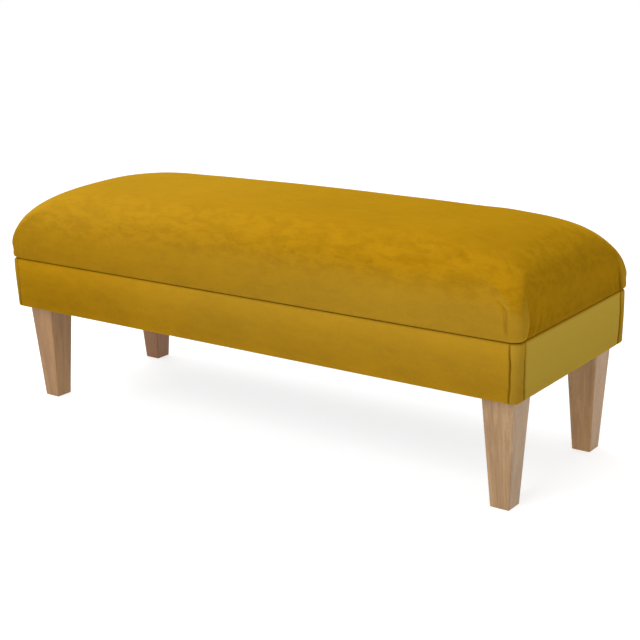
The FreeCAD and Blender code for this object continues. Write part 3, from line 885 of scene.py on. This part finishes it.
class OTTOMAN_OT_lid(bpy.types.Operator):
    """Makes the velvet pad of the lid: a crowned form, blown up as cloth, then pleated"""

    bl_idname = "ottoman.lid"
    bl_label = "Lid pad"

    def execute(self, context):
        shape = settings("lid")
        pad = make_lid_skin(shape)
        held = points_of(pad)[:, 2] < LID_LOW.z + HELD_BELOW
        settle_cloth(pad, shape.pressure, shape.swell, held)
        subdivide = pad.modifiers.new("Subdivision", "SUBSURF")
        subdivide.levels = 1
        subdivide.render_levels = 1
        apply_modifiers(pad)
        pleat_corners(pad)
        uneven_ends(pad)
        finished(pad, velvet("velvet_lid"), "lid", "velvet", "lid_cover", "lid_wadding", "foam_pad")
        smooth_shading(pad)
        shade_and_brush_lid(pad)
        return {"FINISHED"}


def humps(values, *each):
    """Low humps added up: each is (how far it stands out, where, how wide)."""
    return sum(far * bell(values, where, wide) for far, where, wide in each)


def uneven_ends(pad):
    """The hand-laid filling is not quite even: a low hump at the middle, one end fuller."""
    points = points_of(pad)
    low = smoothstep(0.0, 0.01, points[:, 2] - LID_LOW.z)
    rise = points[:, 2] - BOARD_HIGH.z
    along = points[:, 0]
    left = smoothstep(-0.30, -0.50, along)
    right = smoothstep(0.30, 0.50, along)
    foot = smoothstep(0.0, 0.003, points[:, 2] - LID_LOW.z) * bell(rise, -0.016, 0.009)
    left_end = humps(rise, (0.0022, 0.040, 0.040), (0.0052, 0.072, 0.024))
    right_end = humps(rise, (0.0044, 0.086, 0.022), (-0.0020, 0.018, 0.018))
    to_back = smoothstep(-0.10, 0.08, points[:, 1])
    points[:, 0] -= left * (low * left_end + LEFT_FOOT * foot)
    points[:, 0] += right * (low * right_end + RIGHT_FOOT * foot * to_back)
    top = humps(along, (0.0019, -0.02, 0.20), (-0.0015, 0.33, 0.12), (-0.0008, -0.36, 0.10))
    points[:, 2] += low * smoothstep(0.03, 0.10, rise) * top
    set_points(pad, points)


def pleat_corners(pad):
    """Folds the velvet at the lid's four corners, and gathers it softly along the ends."""
    points = points_of(pad)
    normals = normals_of(pad)
    local, from_end, from_side = edge_distances(points, LID_MIDDLE, LID_HALF_X, LID_HALF_Y)
    height = points[:, 2] - LID_LOW.z
    facing_end = smoothstep(0.35, 0.75, np.abs(normals[:, 0]))
    facing_side = smoothstep(0.35, 0.75, np.abs(normals[:, 1]))
    low = smoothstep(0.0, 0.006, height)
    push = np.zeros(len(points))
    for sign_x in (-1, 1):
        for sign_y in (-1, 1):
            here = (np.sign(local[:, 0]) == sign_x) & (np.sign(local[:, 1]) == sign_y)
            # The pleat's edge leans away from the corner as it rises, and fades out.
            edge = pleat_edge(height) + 0.0008 * np.sin(height * 95 + sign_x + 2 * sign_y)
            fade = low * (1 - smoothstep(0.022, 0.060, height))
            beside = from_side - edge
            swell = np.where(beside < 0, smoothstep(-0.030, -0.002, beside), 0)
            swell = swell * (beside < 0.0005)
            drop = smoothstep(-0.0005, 0.0022, beside) * (1 - smoothstep(0.004, 0.026, beside))
            push += here * facing_end * fade * (PLEAT_DEPTH * swell - PLEAT_DEPTH * drop)
            # A shallow crease on the long side of the corner, with a soft lip each side.
            crease = crease_line(height)
            band = crease_band(height) * low * drawn_tight(local[:, 0])
            for depth, beyond, width in CREASE_FOLDS:
                push += here * facing_side * band * depth * bell(from_end, crease + beyond, width)
            # Soft gathers beside the pleat.
            phase = sign_x * 1.3 + sign_y
            gather = np.sin((from_side - 0.3 * height) * FULL_TURN / GATHER_PITCH + phase)
            reach = (1 - smoothstep(0.06, 0.14, from_side)) * smoothstep(0.040, 0.052, from_side)
            rise = low * (1 - smoothstep(0.03, 0.085, height))
            push += here * facing_end * reach * rise * GATHER_DEPTH * gather
    # Broad unevenness of hand-laid wadding.
    rng = random.Random(11)
    wander = np.zeros(len(points))
    for _ in range(26):
        angle = rng.uniform(0, FULL_TURN)
        length = rng.uniform(0.07, 0.26)
        tilt = rng.uniform(-0.6, 0.6)
        phase = rng.uniform(0, FULL_TURN)
        direction = np.array([math.cos(angle), math.sin(angle), tilt]) * FULL_TURN / length
        wander += np.sin(points @ direction + phase) * length
    wander /= np.abs(wander).max()
    push += WADDING_WANDER * wander * low
    set_points(pad, points + normals * push[:, None])


def pleat_edge(height):
    """How far the corner's pleat stands from the long side, at a height above the seam."""
    return 0.022 + 0.20 * height


def drawn_tight(along):
    """The cover was drawn tight from the right, so the left corners barely crease."""
    return np.where(along > 0, 1.0, LEFT_CREASES)


def crease_band(height):
    """Where the long side's crease shows: from just above the seam to where it fades out."""
    return smoothstep(0.004, 0.020, height) * (1 - smoothstep(0.046, 0.068, height))


def crease_line(height):
    """How far the crease stands from the corner: nearly upright, then sweeping inwards."""
    upright = 0.0185 + 0.08 * height
    return upright + 1.1 * np.clip(height - 0.046, 0, 1) + 0.0008 * np.sin(height * 90)


def shade_and_brush_lid(pad):
    """The pile's lay and painted light: painted light on the top and the rolled shoulder, painted
    shade on the ends and lower sides, painted sheen on the lower sides, rubbed where the top rolls
    over.
    """
    normals = normals_of(pad)
    points = points_of(pad)
    local, from_end, from_side = edge_distances(points, LID_MIDDLE, LID_HALF_X, LID_HALF_Y)
    to_end = np.abs(normals[:, 0])
    to_side = np.abs(normals[:, 1])
    up = np.clip(normals[:, 2], 0, 1)
    rise = points[:, 2] - LID_LOW.z
    height = rise / (LID_HIGH.z - LID_LOW.z)
    beside = from_side - pleat_edge(rise)
    behind = smoothstep(-0.0015, 0.0015, beside)
    # Above the pleat the change to the ends' painted shade is soft.
    behind = behind + (1 - behind) * smoothstep(0.045, 0.085, rise)
    end = smoothstep(0.55, 0.92, to_end) * behind
    # The painted light and shade change a little from the left end to the right.
    right = smoothstep(-0.45, 0.35, points[:, 0])
    low = 1 - smoothstep(0.0, 0.62, height)
    rolling = smoothstep(0.10, 0.35, up) * (1 - smoothstep(0.75, 0.95, up))
    shoulder = bell(height, 0.78, 0.16) * rolling
    # Sides: painted shade low down, painted light on the rolled shoulder; the top is painted lighter
    # still, and a little darker to the right.
    side = SIDE_LAY_AND_SHADE - (0.155 - 0.050 * right) * low + (0.085 - 0.065 * right) * shoulder
    past_middle = smoothstep(-0.2, 0.1, points[:, 0])
    far_right = smoothstep(0.20, 0.45, points[:, 0])
    top = TOP_LAY_AND_LIGHT - 0.045 * past_middle - 0.04 * far_right
    flat = smoothstep(0.35, 0.85, up)
    nap_and_shading = side + (top - side) * flat
    # The ends get painted shade, deepest near the seam.
    foot = 1 - smoothstep(0.0, 0.32, height)
    end_lay_and_shade = END_LAY_AND_SHADE + 0.040 * bell(height, 0.48, 0.22) - 0.105 * foot
    nap_and_shading += (end_lay_and_shade - side) * end * (1 - flat)
    # The pleat's fold: a painted highlight on its lip, and a painted shadow under it.
    folded = smoothstep(0.30, 0.75, to_end) * (1 - smoothstep(0.020, 0.055, rise))
    nap_and_shading += folded * (0.12 * bell(beside, -0.0022, 0.0018) - 0.17 * bell(beside, 0.0024, 0.0030))
    # The crease beside the corner: a painted highlight on its lip and painted shade in it.
    drawn = smoothstep(0.35, 0.75, to_side) * crease_band(rise) * drawn_tight(local[:, 0])
    away = from_end - crease_line(rise)
    nap_and_shading += drawn * (0.09 * bell(away, 0.0050, 0.0026) - 0.15 * bell(away, 0.0, 0.0022))
    store(pad, "nap_and_shading", nap_and_shading)
    # Painted sheen on the lower sides, more to the right, and on the top towards the left; none on
    # the ends.
    lower = 1 - smoothstep(0.2, 0.6, up)
    left_top_sheen = 0.13 * (1 - right) * (1 - lower)
    store(pad, "painted_sheen", ((0.06 + 0.15 * right) * lower + left_top_sheen) * (1 - end))
    rubbed = smoothstep(0.18, 0.50, up) * (1 - smoothstep(0.86, 0.99, up)) * (1 - 0.35 * end)
    store(pad, "brushing", 0.045 + 0.085 * rubbed)


# ------------------------------------------------------------------ the base
def band_section(shape):
    """The velvet's section as (inset, height, share of the face): down from inside the box,
    over the rim, down the outside, in under the panel, and back behind at its thickness."""
    top, bottom = BASE_HIGH.z, BASE_LOW.z
    upper, lower = shape.upper_edge, shape.lower_edge
    inner = RAIL_HIGH.y - BASE_LOW.y + RAIL_CLEAR
    front = [(inner, top - drop, 0.0) for drop in (0.020, 0.012, 0.006, 0.003)]
    for step in range(1, 4):
        angle = step / 3 * math.pi / 2
        z = top - RIM_ROUND * (1 - math.sin(angle))
        front.append((inner - RIM_ROUND * math.sin(angle), z, 0.0))
    rim = inner - RIM_ROUND
    for step in range(1, 4):
        front.append((rim + (upper - rim) * step / 4, top, 0.0))
    for step in range(6):
        angle = step / 5 * math.pi / 2
        z = top - upper * (1 - math.cos(angle))
        front.append((upper * (1 - math.sin(angle)), z, 0.5 * step / 5))
    for step in range(1, FACE_ROWS):
        z = top - upper + (bottom + lower - top + upper) * step / FACE_ROWS
        front.append((0.0, z, 1.0))
    for step in range(7):
        angle = step / 6 * math.pi / 2
        z = bottom + lower * (1 - math.sin(angle))
        front.append((lower * (1 - math.cos(angle)), z, 1 - step / 6))
    for inset in (0.010, 0.018, 0.030):
        front.append((inset, bottom + 0.0004, 0.0))
    thick = VELVET_THICK
    back = [(0.030, bottom + thick, 0.0), (0.014, bottom + thick, 0.0),
            (lower, bottom + thick, 0.3), (thick, bottom + lower, 1.0),
            (thick, (top + bottom) / 2, 1.0), (thick, top - upper, 1.0),
            (upper, top - thick, 0.0), (inner / 2, top - thick, 0.0),
            (inner - thick - 0.001, top - thick, 0.0), (inner - thick, top - 0.003, 0.0),
            (inner - thick, top - 0.020, 0.0)]
    return front + back


class OTTOMAN_OT_base(bpy.types.Operator):
    """Makes the velvet band round the base, with its corner seams"""

    bl_idname = "ottoman.base"
    bl_label = "Base band"

    def execute(self, context):
        shape = settings("band")
        spacing = [spaced(half, *BAND_SPACING) for half in (BASE_HALF_X, BASE_HALF_Y)]
        rings = []
        shares = []
        for inset, z, share in band_section(shape):
            corner = max(shape.corner - inset, 0.0006)
            flat = perimeter(BASE_HALF_X - inset, BASE_HALF_Y - inset, corner, *spacing)
            flat = flat + (BASE_MIDDLE.x, BASE_MIDDLE.y)
            rings.append(np.column_stack([flat, np.full(len(flat), z)]))
            shares.append(np.full(len(flat), share))
        points = dress_band(np.concatenate(rings), np.concatenate(shares), shape)
        band = mesh_piece("base_band", points, ring_faces(len(rings), len(rings[0]), loop=True))
        let_in_leaves(band)
        finished(band, velvet("velvet_base"), "base", "velvet", "base_cover", "base_wadding")
        smooth_shading(band)
        shade_and_brush_band(band)
        return {"FINISHED"}


def corner_seams(points, shape):
    """How deep each point is in a corner seam, and how far on the soft lips beside one."""
    _, from_end, from_side = edge_distances(points, BASE_MIDDLE, BASE_HALF_X, BASE_HALF_Y)
    height = (points[:, 2] - BASE_LOW.z) / (BASE_HIGH.z - BASE_LOW.z)
    on_end = np.clip(from_end, 0, 1) < np.clip(from_side, 0, 1)
    wave = 0.0010 * np.sin(height * 5.0 + points[:, 0] * 3 + 0.6) + 0.0004 * np.sin(height * 17.0)
    crease = np.zeros(len(points))
    lip = np.zeros(len(points))
    for distance, seam, width, facing in ((from_end, shape.side_seam, SIDE_SEAM_WIDTH, ~on_end),
                                          (from_side, shape.end_seam, END_SEAM_WIDTH, on_end)):
        away = distance - seam - wave
        crease += facing * bell(away, 0.0, width)
        lip += facing * (bell(away, LIP_AWAY, LIP_WIDTH) + bell(away, -LIP_AWAY, LIP_WIDTH))
    return crease, lip


def dress_band(points, shares, shape):
    """Pulls the band's outer face about: flared ends, soft bulges and corner seams."""
    local, from_end, from_side = edge_distances(points, BASE_MIDDLE, BASE_HALF_X, BASE_HALF_Y)
    height = (points[:, 2] - BASE_LOW.z) / (BASE_HIGH.z - BASE_LOW.z)
    on_end = np.clip(from_end, 0, 1) < np.clip(from_side, 0, 1)
    outward = np.zeros_like(points)
    outward[:, 0] = np.sign(local[:, 0]) * smoothstep(0.020, 0.0, from_end)
    outward[:, 1] = np.sign(local[:, 1]) * smoothstep(0.020, 0.0, from_side)
    length = np.linalg.norm(outward, axis=1, keepdims=True)
    outward /= np.maximum(length, 1)
    rng = random.Random(23)
    wander = np.zeros(len(points))
    along = points[:, 0] + points[:, 1]
    for _ in range(14):
        wave = rng.uniform(0.08, 0.30)
        phase = rng.uniform(0, FULL_TURN)
        lean = rng.uniform(-0.5, 0.5)
        wander += wave * np.sin(FULL_TURN / wave * (along + lean * points[:, 2]) + phase)
    wander /= np.abs(wander).max()
    push = shares * (0.0008 * np.sin(math.pi * np.clip(height, 0, 1)) + 0.0006 * wander)
    # Puckers over the staples underneath.
    pucker = np.where(on_end, points[:, 1], points[:, 0])
    low = bell(height, 0.0, 0.16) * shares
    push += low * 0.00035 * np.sin(FULL_TURN * pucker / STAPLE_PITCH + 1.0)
    # Two seams at each corner, one on each face, a little wavy.
    crease, lip = corner_seams(points, shape)
    push += shares * (LIP_RISE * lip - SEAM_DEPTH * crease)
    points = points + outward * push[:, None]
    flare = np.where(local[:, 0] < 0, LEFT_FLARE, RIGHT_FLARE) * shape.flare
    flare = flare * smoothstep(-0.1, 1.1, height) * smoothstep(0.03, 0.0, from_end)
    points[:, 0] += np.sign(local[:, 0]) * flare
    # The folded lower edge hangs a little below the panel.
    fold = smoothstep(0.012, 0.004, np.minimum(from_end, from_side)) * smoothstep(0.16, 0.0, height)
    points[:, 2] -= shape.hang * fold
    return points


def let_in_leaves(band):
    """Cuts the rim's velvet square round each hinge leaf, and presses it down under the leaf."""
    leaves = [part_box("hinge_" + name + "_base_leaf") for name in ("left", "middle", "right")]
    planes = []
    for offset in (LEAF_FIT, LEAF_FIT + LEAF_WALL):
        planes.append(((0, leaves[0][0].y - offset, 0), (0, 1, 0)))
        for low, high in leaves:
            planes.append(((low.x - offset, 0, 0), (1, 0, 0)))
            planes.append(((high.x + offset, 0, 0), (1, 0, 0)))
    bisect(band, planes)
    points = points_of(band)
    reach = LEAF_FIT + LEAF_WALL / 2
    for low, high in leaves:
        inside = (points[:, 0] > low.x - reach) & (points[:, 0] < high.x + reach)
        inside &= (points[:, 1] > low.y - reach) & (points[:, 2] > BASE_HIGH.z - RIM_DEPTH)
        sunk = np.minimum(points[:, 2], low.z - UNDER_LEAF)
        points[:, 2] = np.where(inside, sunk, points[:, 2])
    set_points(band, points)


def shade_and_brush_band(band):
    """The pile's lay and painted light: painted light along the upper edge, painted shade towards the
    lower one and in the corner seams, painted sheen on the ends.
    """
    shape = settings("band")
    points = points_of(band)
    normals = normals_of(band)
    height = np.clip((points[:, 2] - BASE_LOW.z) / (BASE_HIGH.z - BASE_LOW.z), 0, 1)
    crease, _ = corner_seams(points, shape)
    _, from_end, from_side = edge_distances(points, BASE_MIDDLE, BASE_HALF_X, BASE_HALF_Y)
    past_side_seam = smoothstep(shape.side_seam + MM, shape.side_seam - MM, from_end)
    past_end_seam = smoothstep(shape.end_seam - MM, shape.end_seam + MM, from_side)
    end = past_side_seam * past_end_seam
    strip = past_side_seam * (1 - past_end_seam)
    right = smoothstep(-0.45, 0.05, points[:, 0])
    # Painted light near the upper edge, painted shade lower down, a little lighter at the very
    # bottom; the ends are lighter at the top and darker at the bottom, and the strip between the
    # seams is darker.
    nap_and_shading = BAND_LAY_AND_SHADE + 0.145 * smoothstep(0.50, 1.0, height)
    nap_and_shading = nap_and_shading - (0.085 - 0.035 * right) * smoothstep(0.7, 0.1, height)
    nap_and_shading += 0.03 * bell(height, 0.0, 0.10)
    nap_and_shading += 0.30 * (height - 0.45) * end - 0.07 * strip
    # The corner seams get painted shade.
    store(band, "nap_and_shading", nap_and_shading - SEAM_SHADE * crease)
    upright = smoothstep(0.8, 0.3, np.abs(normals[:, 2]))
    # Painted sheen, more to the right and up the faces, most on the ends; none in the seams.
    painted_sheen = 0.02 + right * (0.07 + 0.13 * height) + upright * (END_PAINTED_SHEEN * end + 0.16 * strip)
    store(band, "painted_sheen", painted_sheen * (1 - crease))
    store(band, "brushing", np.full(len(points), BAND_BRUSHING))


# ------------------------------------------------------------------ finishes
class OTTOMAN_OT_legs(bpy.types.Operator):
    """Finishes the four legs in lacquered beech"""

    bl_idname = "ottoman.legs"
    bl_label = "Legs"

    def execute(self, context):
        # How deep each leg's colour is, and how pale. The back left leg's darker, yellower colour is
        # painted shade and painted bounce light from the velvet.
        boards = (("front_left", 0.67, 0.865), ("front_right", 0.825, 1.0),
                  ("back_left", 0.52, 0.66), ("back_right", 0.80, 0.89))
        for corner, depth, paleness in boards:
            dress(lacquered_beech("beech_" + corner, depth, paleness), "leg_" + corner)
        return {"FINISHED"}


class OTTOMAN_OT_timber(bpy.types.Operator):
    """Finishes the rails and the boards in bare timber and plywood"""

    bl_idname = "ottoman.timber"
    bl_label = "Rails and boards"

    def execute(self, context):
        dress(plain_timber("bare_softwood", (0.62, 0.44, 0.24, 1), (0.42, 0.27, 0.12, 1)),
              "front_rail", "back_rail", "left_rail", "right_rail")
        dress(plain_timber("bare_plywood", (0.66, 0.49, 0.29, 1), (0.50, 0.34, 0.17, 1)),
              "base_panel", "lid_board")
        return {"FINISHED"}


def covered_board(name, low, high, face, seed, puff=0.0007, pitch=0.045):
    """A thin board wrapped in cloth: eased edges, a slightly slack face and small puckers
    along its edges where the cloth is drawn round. face is the axis that the cloth looks along,
    signed."""
    size = [high[i] - low[i] for i in range(3)]
    middle = [(high[i] + low[i]) / 2 for i in range(3)]
    axis = abs(face) - 1
    sign = 1 if face > 0 else -1
    others = [i for i in range(3) if i != axis]
    deselect()
    bpy.ops.mesh.primitive_cube_add(size=1, location=middle, scale=size)
    board = bpy.context.object
    board.name = name
    settle_transform(board)
    # The faces are cut into a fine grid, with two closer cuts beside each edge.
    for across in others:
        ease = min(0.004, size[across] * 0.1)
        near, far = low[across], high[across]
        count = max(4, round(size[across] / BOARD_GRID))
        inner = np.linspace(near + ease, far - ease, count)[1:-1]
        cuts = [near + ease * 0.35, near + ease, *inner, far - ease, far - ease * 0.35]
        normal = [0, 0, 0]
        normal[across] = 1
        planes = []
        for cut in cuts:
            place = list(middle)
            place[across] = cut
            planes.append((place, normal))
        bisect(board, planes)
    points = points_of(board)
    edge = np.full(len(points), np.inf)
    for across in others:
        edge = np.minimum(edge, points[:, across] - low[across])
        edge = np.minimum(edge, high[across] - points[:, across])
    outer = sign * (points[:, axis] - middle[axis]) > 0
    rng = random.Random(seed)
    slack = np.zeros(len(points))
    for _ in range(SLACK_WAVES):
        wave = rng.uniform(0.06, 0.20)
        angle = rng.uniform(0, FULL_TURN)
        line = points[:, others[0]] * math.cos(angle) + points[:, others[1]] * math.sin(angle)
        slack += np.sin(FULL_TURN / wave * line + rng.uniform(0, FULL_TURN)) / SLACK_WAVES
    rim = smoothstep(0.0, 0.012, edge)
    pucker = np.sin(FULL_TURN / pitch * (points[:, others[0]] + points[:, others[1]]))
    lift = puff * rim * slack - EDGE_DROP * (1 - smoothstep(0.0, 0.004, edge))
    lift += PUCKER_DEPTH * pucker * bell(edge, 0.007, 0.006)
    points[:, axis] += np.where(outer, sign * lift, 0)
    set_points(board, points)
    recalculate_normals(board)
    smooth_shading(board)
    return board, (size[others[0]], size[others[1]])


class OTTOMAN_OT_linings(bpy.types.Operator):
    """Makes the calico-covered boards that line the box and the lid"""

    bl_idname = "ottoman.linings"
    bl_label = "Linings"

    def execute(self, context):
        cloth = calico()
        boards = (("lining_floor", 3), ("lining_front", 2), ("lining_back", -2),
                  ("lining_left", 1), ("lining_right", -1))
        for seed, (node, face) in enumerate(boards, start=41):
            low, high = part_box(node)
            board, flat = covered_board("calico_" + node, low, high, face, seed)
            finished(board, cloth, "base", "lining_cloth", node)
        low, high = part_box("lid_lining")
        board, flat = covered_board("calico_lid_lining", low, high, -3, 61)
        finished(board, cloth, "lid", "lining_cloth", "lid_lining")
        return {"FINISHED"}


class OTTOMAN_OT_dust_cloth(bpy.types.Operator):
    """Makes the thin black cloth stapled under the base"""

    bl_idname = "ottoman.dust_cloth"
    bl_label = "Dust cloth"

    def execute(self, context):
        low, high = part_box("dust_cloth")
        board, flat = covered_board("dust_cover", low, high, -3, 71, puff=0.0004)
        finished(board, black_dust_cloth(), "base", "dust_cloth", "dust_cloth")
        return {"FINISHED"}


class OTTOMAN_OT_hardware(bpy.types.Operator):
    """Finishes the hinges, stays, screws, bolts and staples in plated steel"""

    bl_idname = "ottoman.hardware"
    bl_label = "Hardware"

    def execute(self, context):
        zinc = plated_steel("bright_zinc", (0.62, 0.62, 0.60, 1), (0.40, 0.40, 0.39, 1), 0.28)
        passivated = plated_steel("passivated_zinc", (0.60, 0.52, 0.32, 1),
                                  (0.40, 0.34, 0.20, 1), 0.30)
        nickel = plated_steel("nickel", (0.66, 0.65, 0.62, 1), (0.46, 0.45, 0.43, 1), 0.22)
        for name in NODES:
            if name.startswith("hinge_") and not name.endswith("screws"):
                dress(passivated, name)
            elif name.startswith("stay_") and not name.endswith("screws"):
                dress(nickel, name)
            elif name.endswith(("screws", "staples", "bolts", "nuts")):
                dress(zinc, name)
        return {"FINISHED"}


# ------------------------------------------------------------------ the stage
def aimed(place, target):
    """A turn that points a light at a place."""
    return (Vector(target) - Vector(place)).to_track_quat("-Z", "Y").to_euler()


def white_surround(scene):
    """A white backdrop that lights the bench less than it shows."""
    world = bpy.data.worlds.new("soft_white")
    scene.world = world
    world.use_nodes = True
    tree = world.node_tree
    background = tree.nodes["Background"]
    background.inputs["Color"].default_value = (1, 1, 1, 1)
    path = tree.nodes.new("ShaderNodeLightPath")
    strength = tree.nodes.new("ShaderNodeMapRange")
    tree.links.new(path.outputs["Is Camera Ray"], strength.inputs["Value"])
    strength.inputs["To Min"].default_value = 0.52
    strength.inputs["To Max"].default_value = 1.0
    tree.links.new(strength.outputs["Result"], background.inputs["Strength"])


class OTTOMAN_OT_stage(bpy.types.Operator):
    """Sets the pale floor, the soft lights and the camera"""

    bl_idname = "ottoman.stage"
    bl_label = "Stage"

    def execute(self, context):
        view = settings("stage")
        deselect()
        bpy.ops.mesh.primitive_plane_add(size=90)
        floor = context.object
        floor.name = "studio_floor"
        material, _, shader = new_material("pale_floor")
        shader.inputs["Base Color"].default_value = (0.56, 0.56, 0.56, 1)
        shader.inputs["Roughness"].default_value = 0.8
        shader.inputs["Specular IOR Level"].default_value = 0.1
        shader.inputs["Emission Color"].default_value = (1, 1, 1, 1)
        shader.inputs["Emission Strength"].default_value = 0.70
        floor.data.materials.append(material)

        # Each lamp's name, place, size and power in watts.
        lights = (("key", (-0.2, -3.1, 2.7), 2.6, 74), ("fill", (3.0, -2.4, 1.7), 2.4, 14),
                  ("top", (-1.5, 0.4, 2.7), 2.4, 44))
        for name, place, size, power in lights:
            turn = aimed(place, (0, 0, 0.25))
            bpy.ops.object.light_add(type="AREA", location=place, rotation=turn)
            lamp = context.object
            lamp.name = name
            lamp.data.shape = "SQUARE"
            lamp.data.size = size
            lamp.data.energy = power
        white_surround(context.scene)
        context.scene.view_settings.view_transform = "Standard"

        forward = Vector((math.sin(view.yaw) * math.cos(view.pitch),
                          math.cos(view.yaw) * math.cos(view.pitch), -math.sin(view.pitch)))
        right = Vector((math.cos(view.yaw), -math.sin(view.yaw), 0))
        up = right.cross(forward)
        rolled_right = math.cos(view.roll) * right + math.sin(view.roll) * up
        rolled_up = math.cos(view.roll) * up - math.sin(view.roll) * right
        turn = Matrix((rolled_right, rolled_up, -forward)).transposed()
        bpy.ops.object.camera_add(location=view.place, rotation=turn.to_euler())
        camera = context.object
        camera.data.lens = view.lens
        camera.data.sensor_width = 36
        context.scene.camera = camera
        return {"FINISHED"}


class OTTOMAN_PT_panel(bpy.types.Panel):
    """Lists the makers in the sidebar"""

    bl_label = "Storage Ottoman"
    bl_idname = "OTTOMAN_PT_panel"
    bl_space_type = "VIEW_3D"
    bl_region_type = "UI"
    bl_category = "Ottoman"

    def draw(self, context):
        for group, _ in GROUPS:
            box = self.layout.box()
            box.label(text=group.title())
            chosen = settings(group)
            for name in chosen.bl_rna.properties.keys():
                if name not in ("rna_type", "name"):
                    box.prop(chosen, name)
        for operator in OPERATORS:
            self.layout.operator(operator.bl_idname)


OPERATORS = (OTTOMAN_OT_lid, OTTOMAN_OT_base, OTTOMAN_OT_linings, OTTOMAN_OT_dust_cloth,
             OTTOMAN_OT_legs, OTTOMAN_OT_timber, OTTOMAN_OT_hardware, OTTOMAN_OT_stage)
CLASSES = (*(kind for _, kind in GROUPS), *OPERATORS, OTTOMAN_PT_panel)


def register():
    for made in CLASSES:
        bpy.utils.register_class(made)
    for name, kind in GROUPS:
        setattr(bpy.types.Scene, "ottoman_" + name, bpy.props.PointerProperty(type=kind))


def unregister():
    for name, _ in GROUPS:
        delattr(bpy.types.Scene, "ottoman_" + name)
    for made in reversed(CLASSES):
        bpy.utils.unregister_class(made)


def main():
    register()
    for operator in OPERATORS:
        group, name = operator.bl_idname.split(".")
        getattr(getattr(bpy.ops, group), name)()
    bpy.context.view_layer.update()


if __name__ == "__main__":
    main()
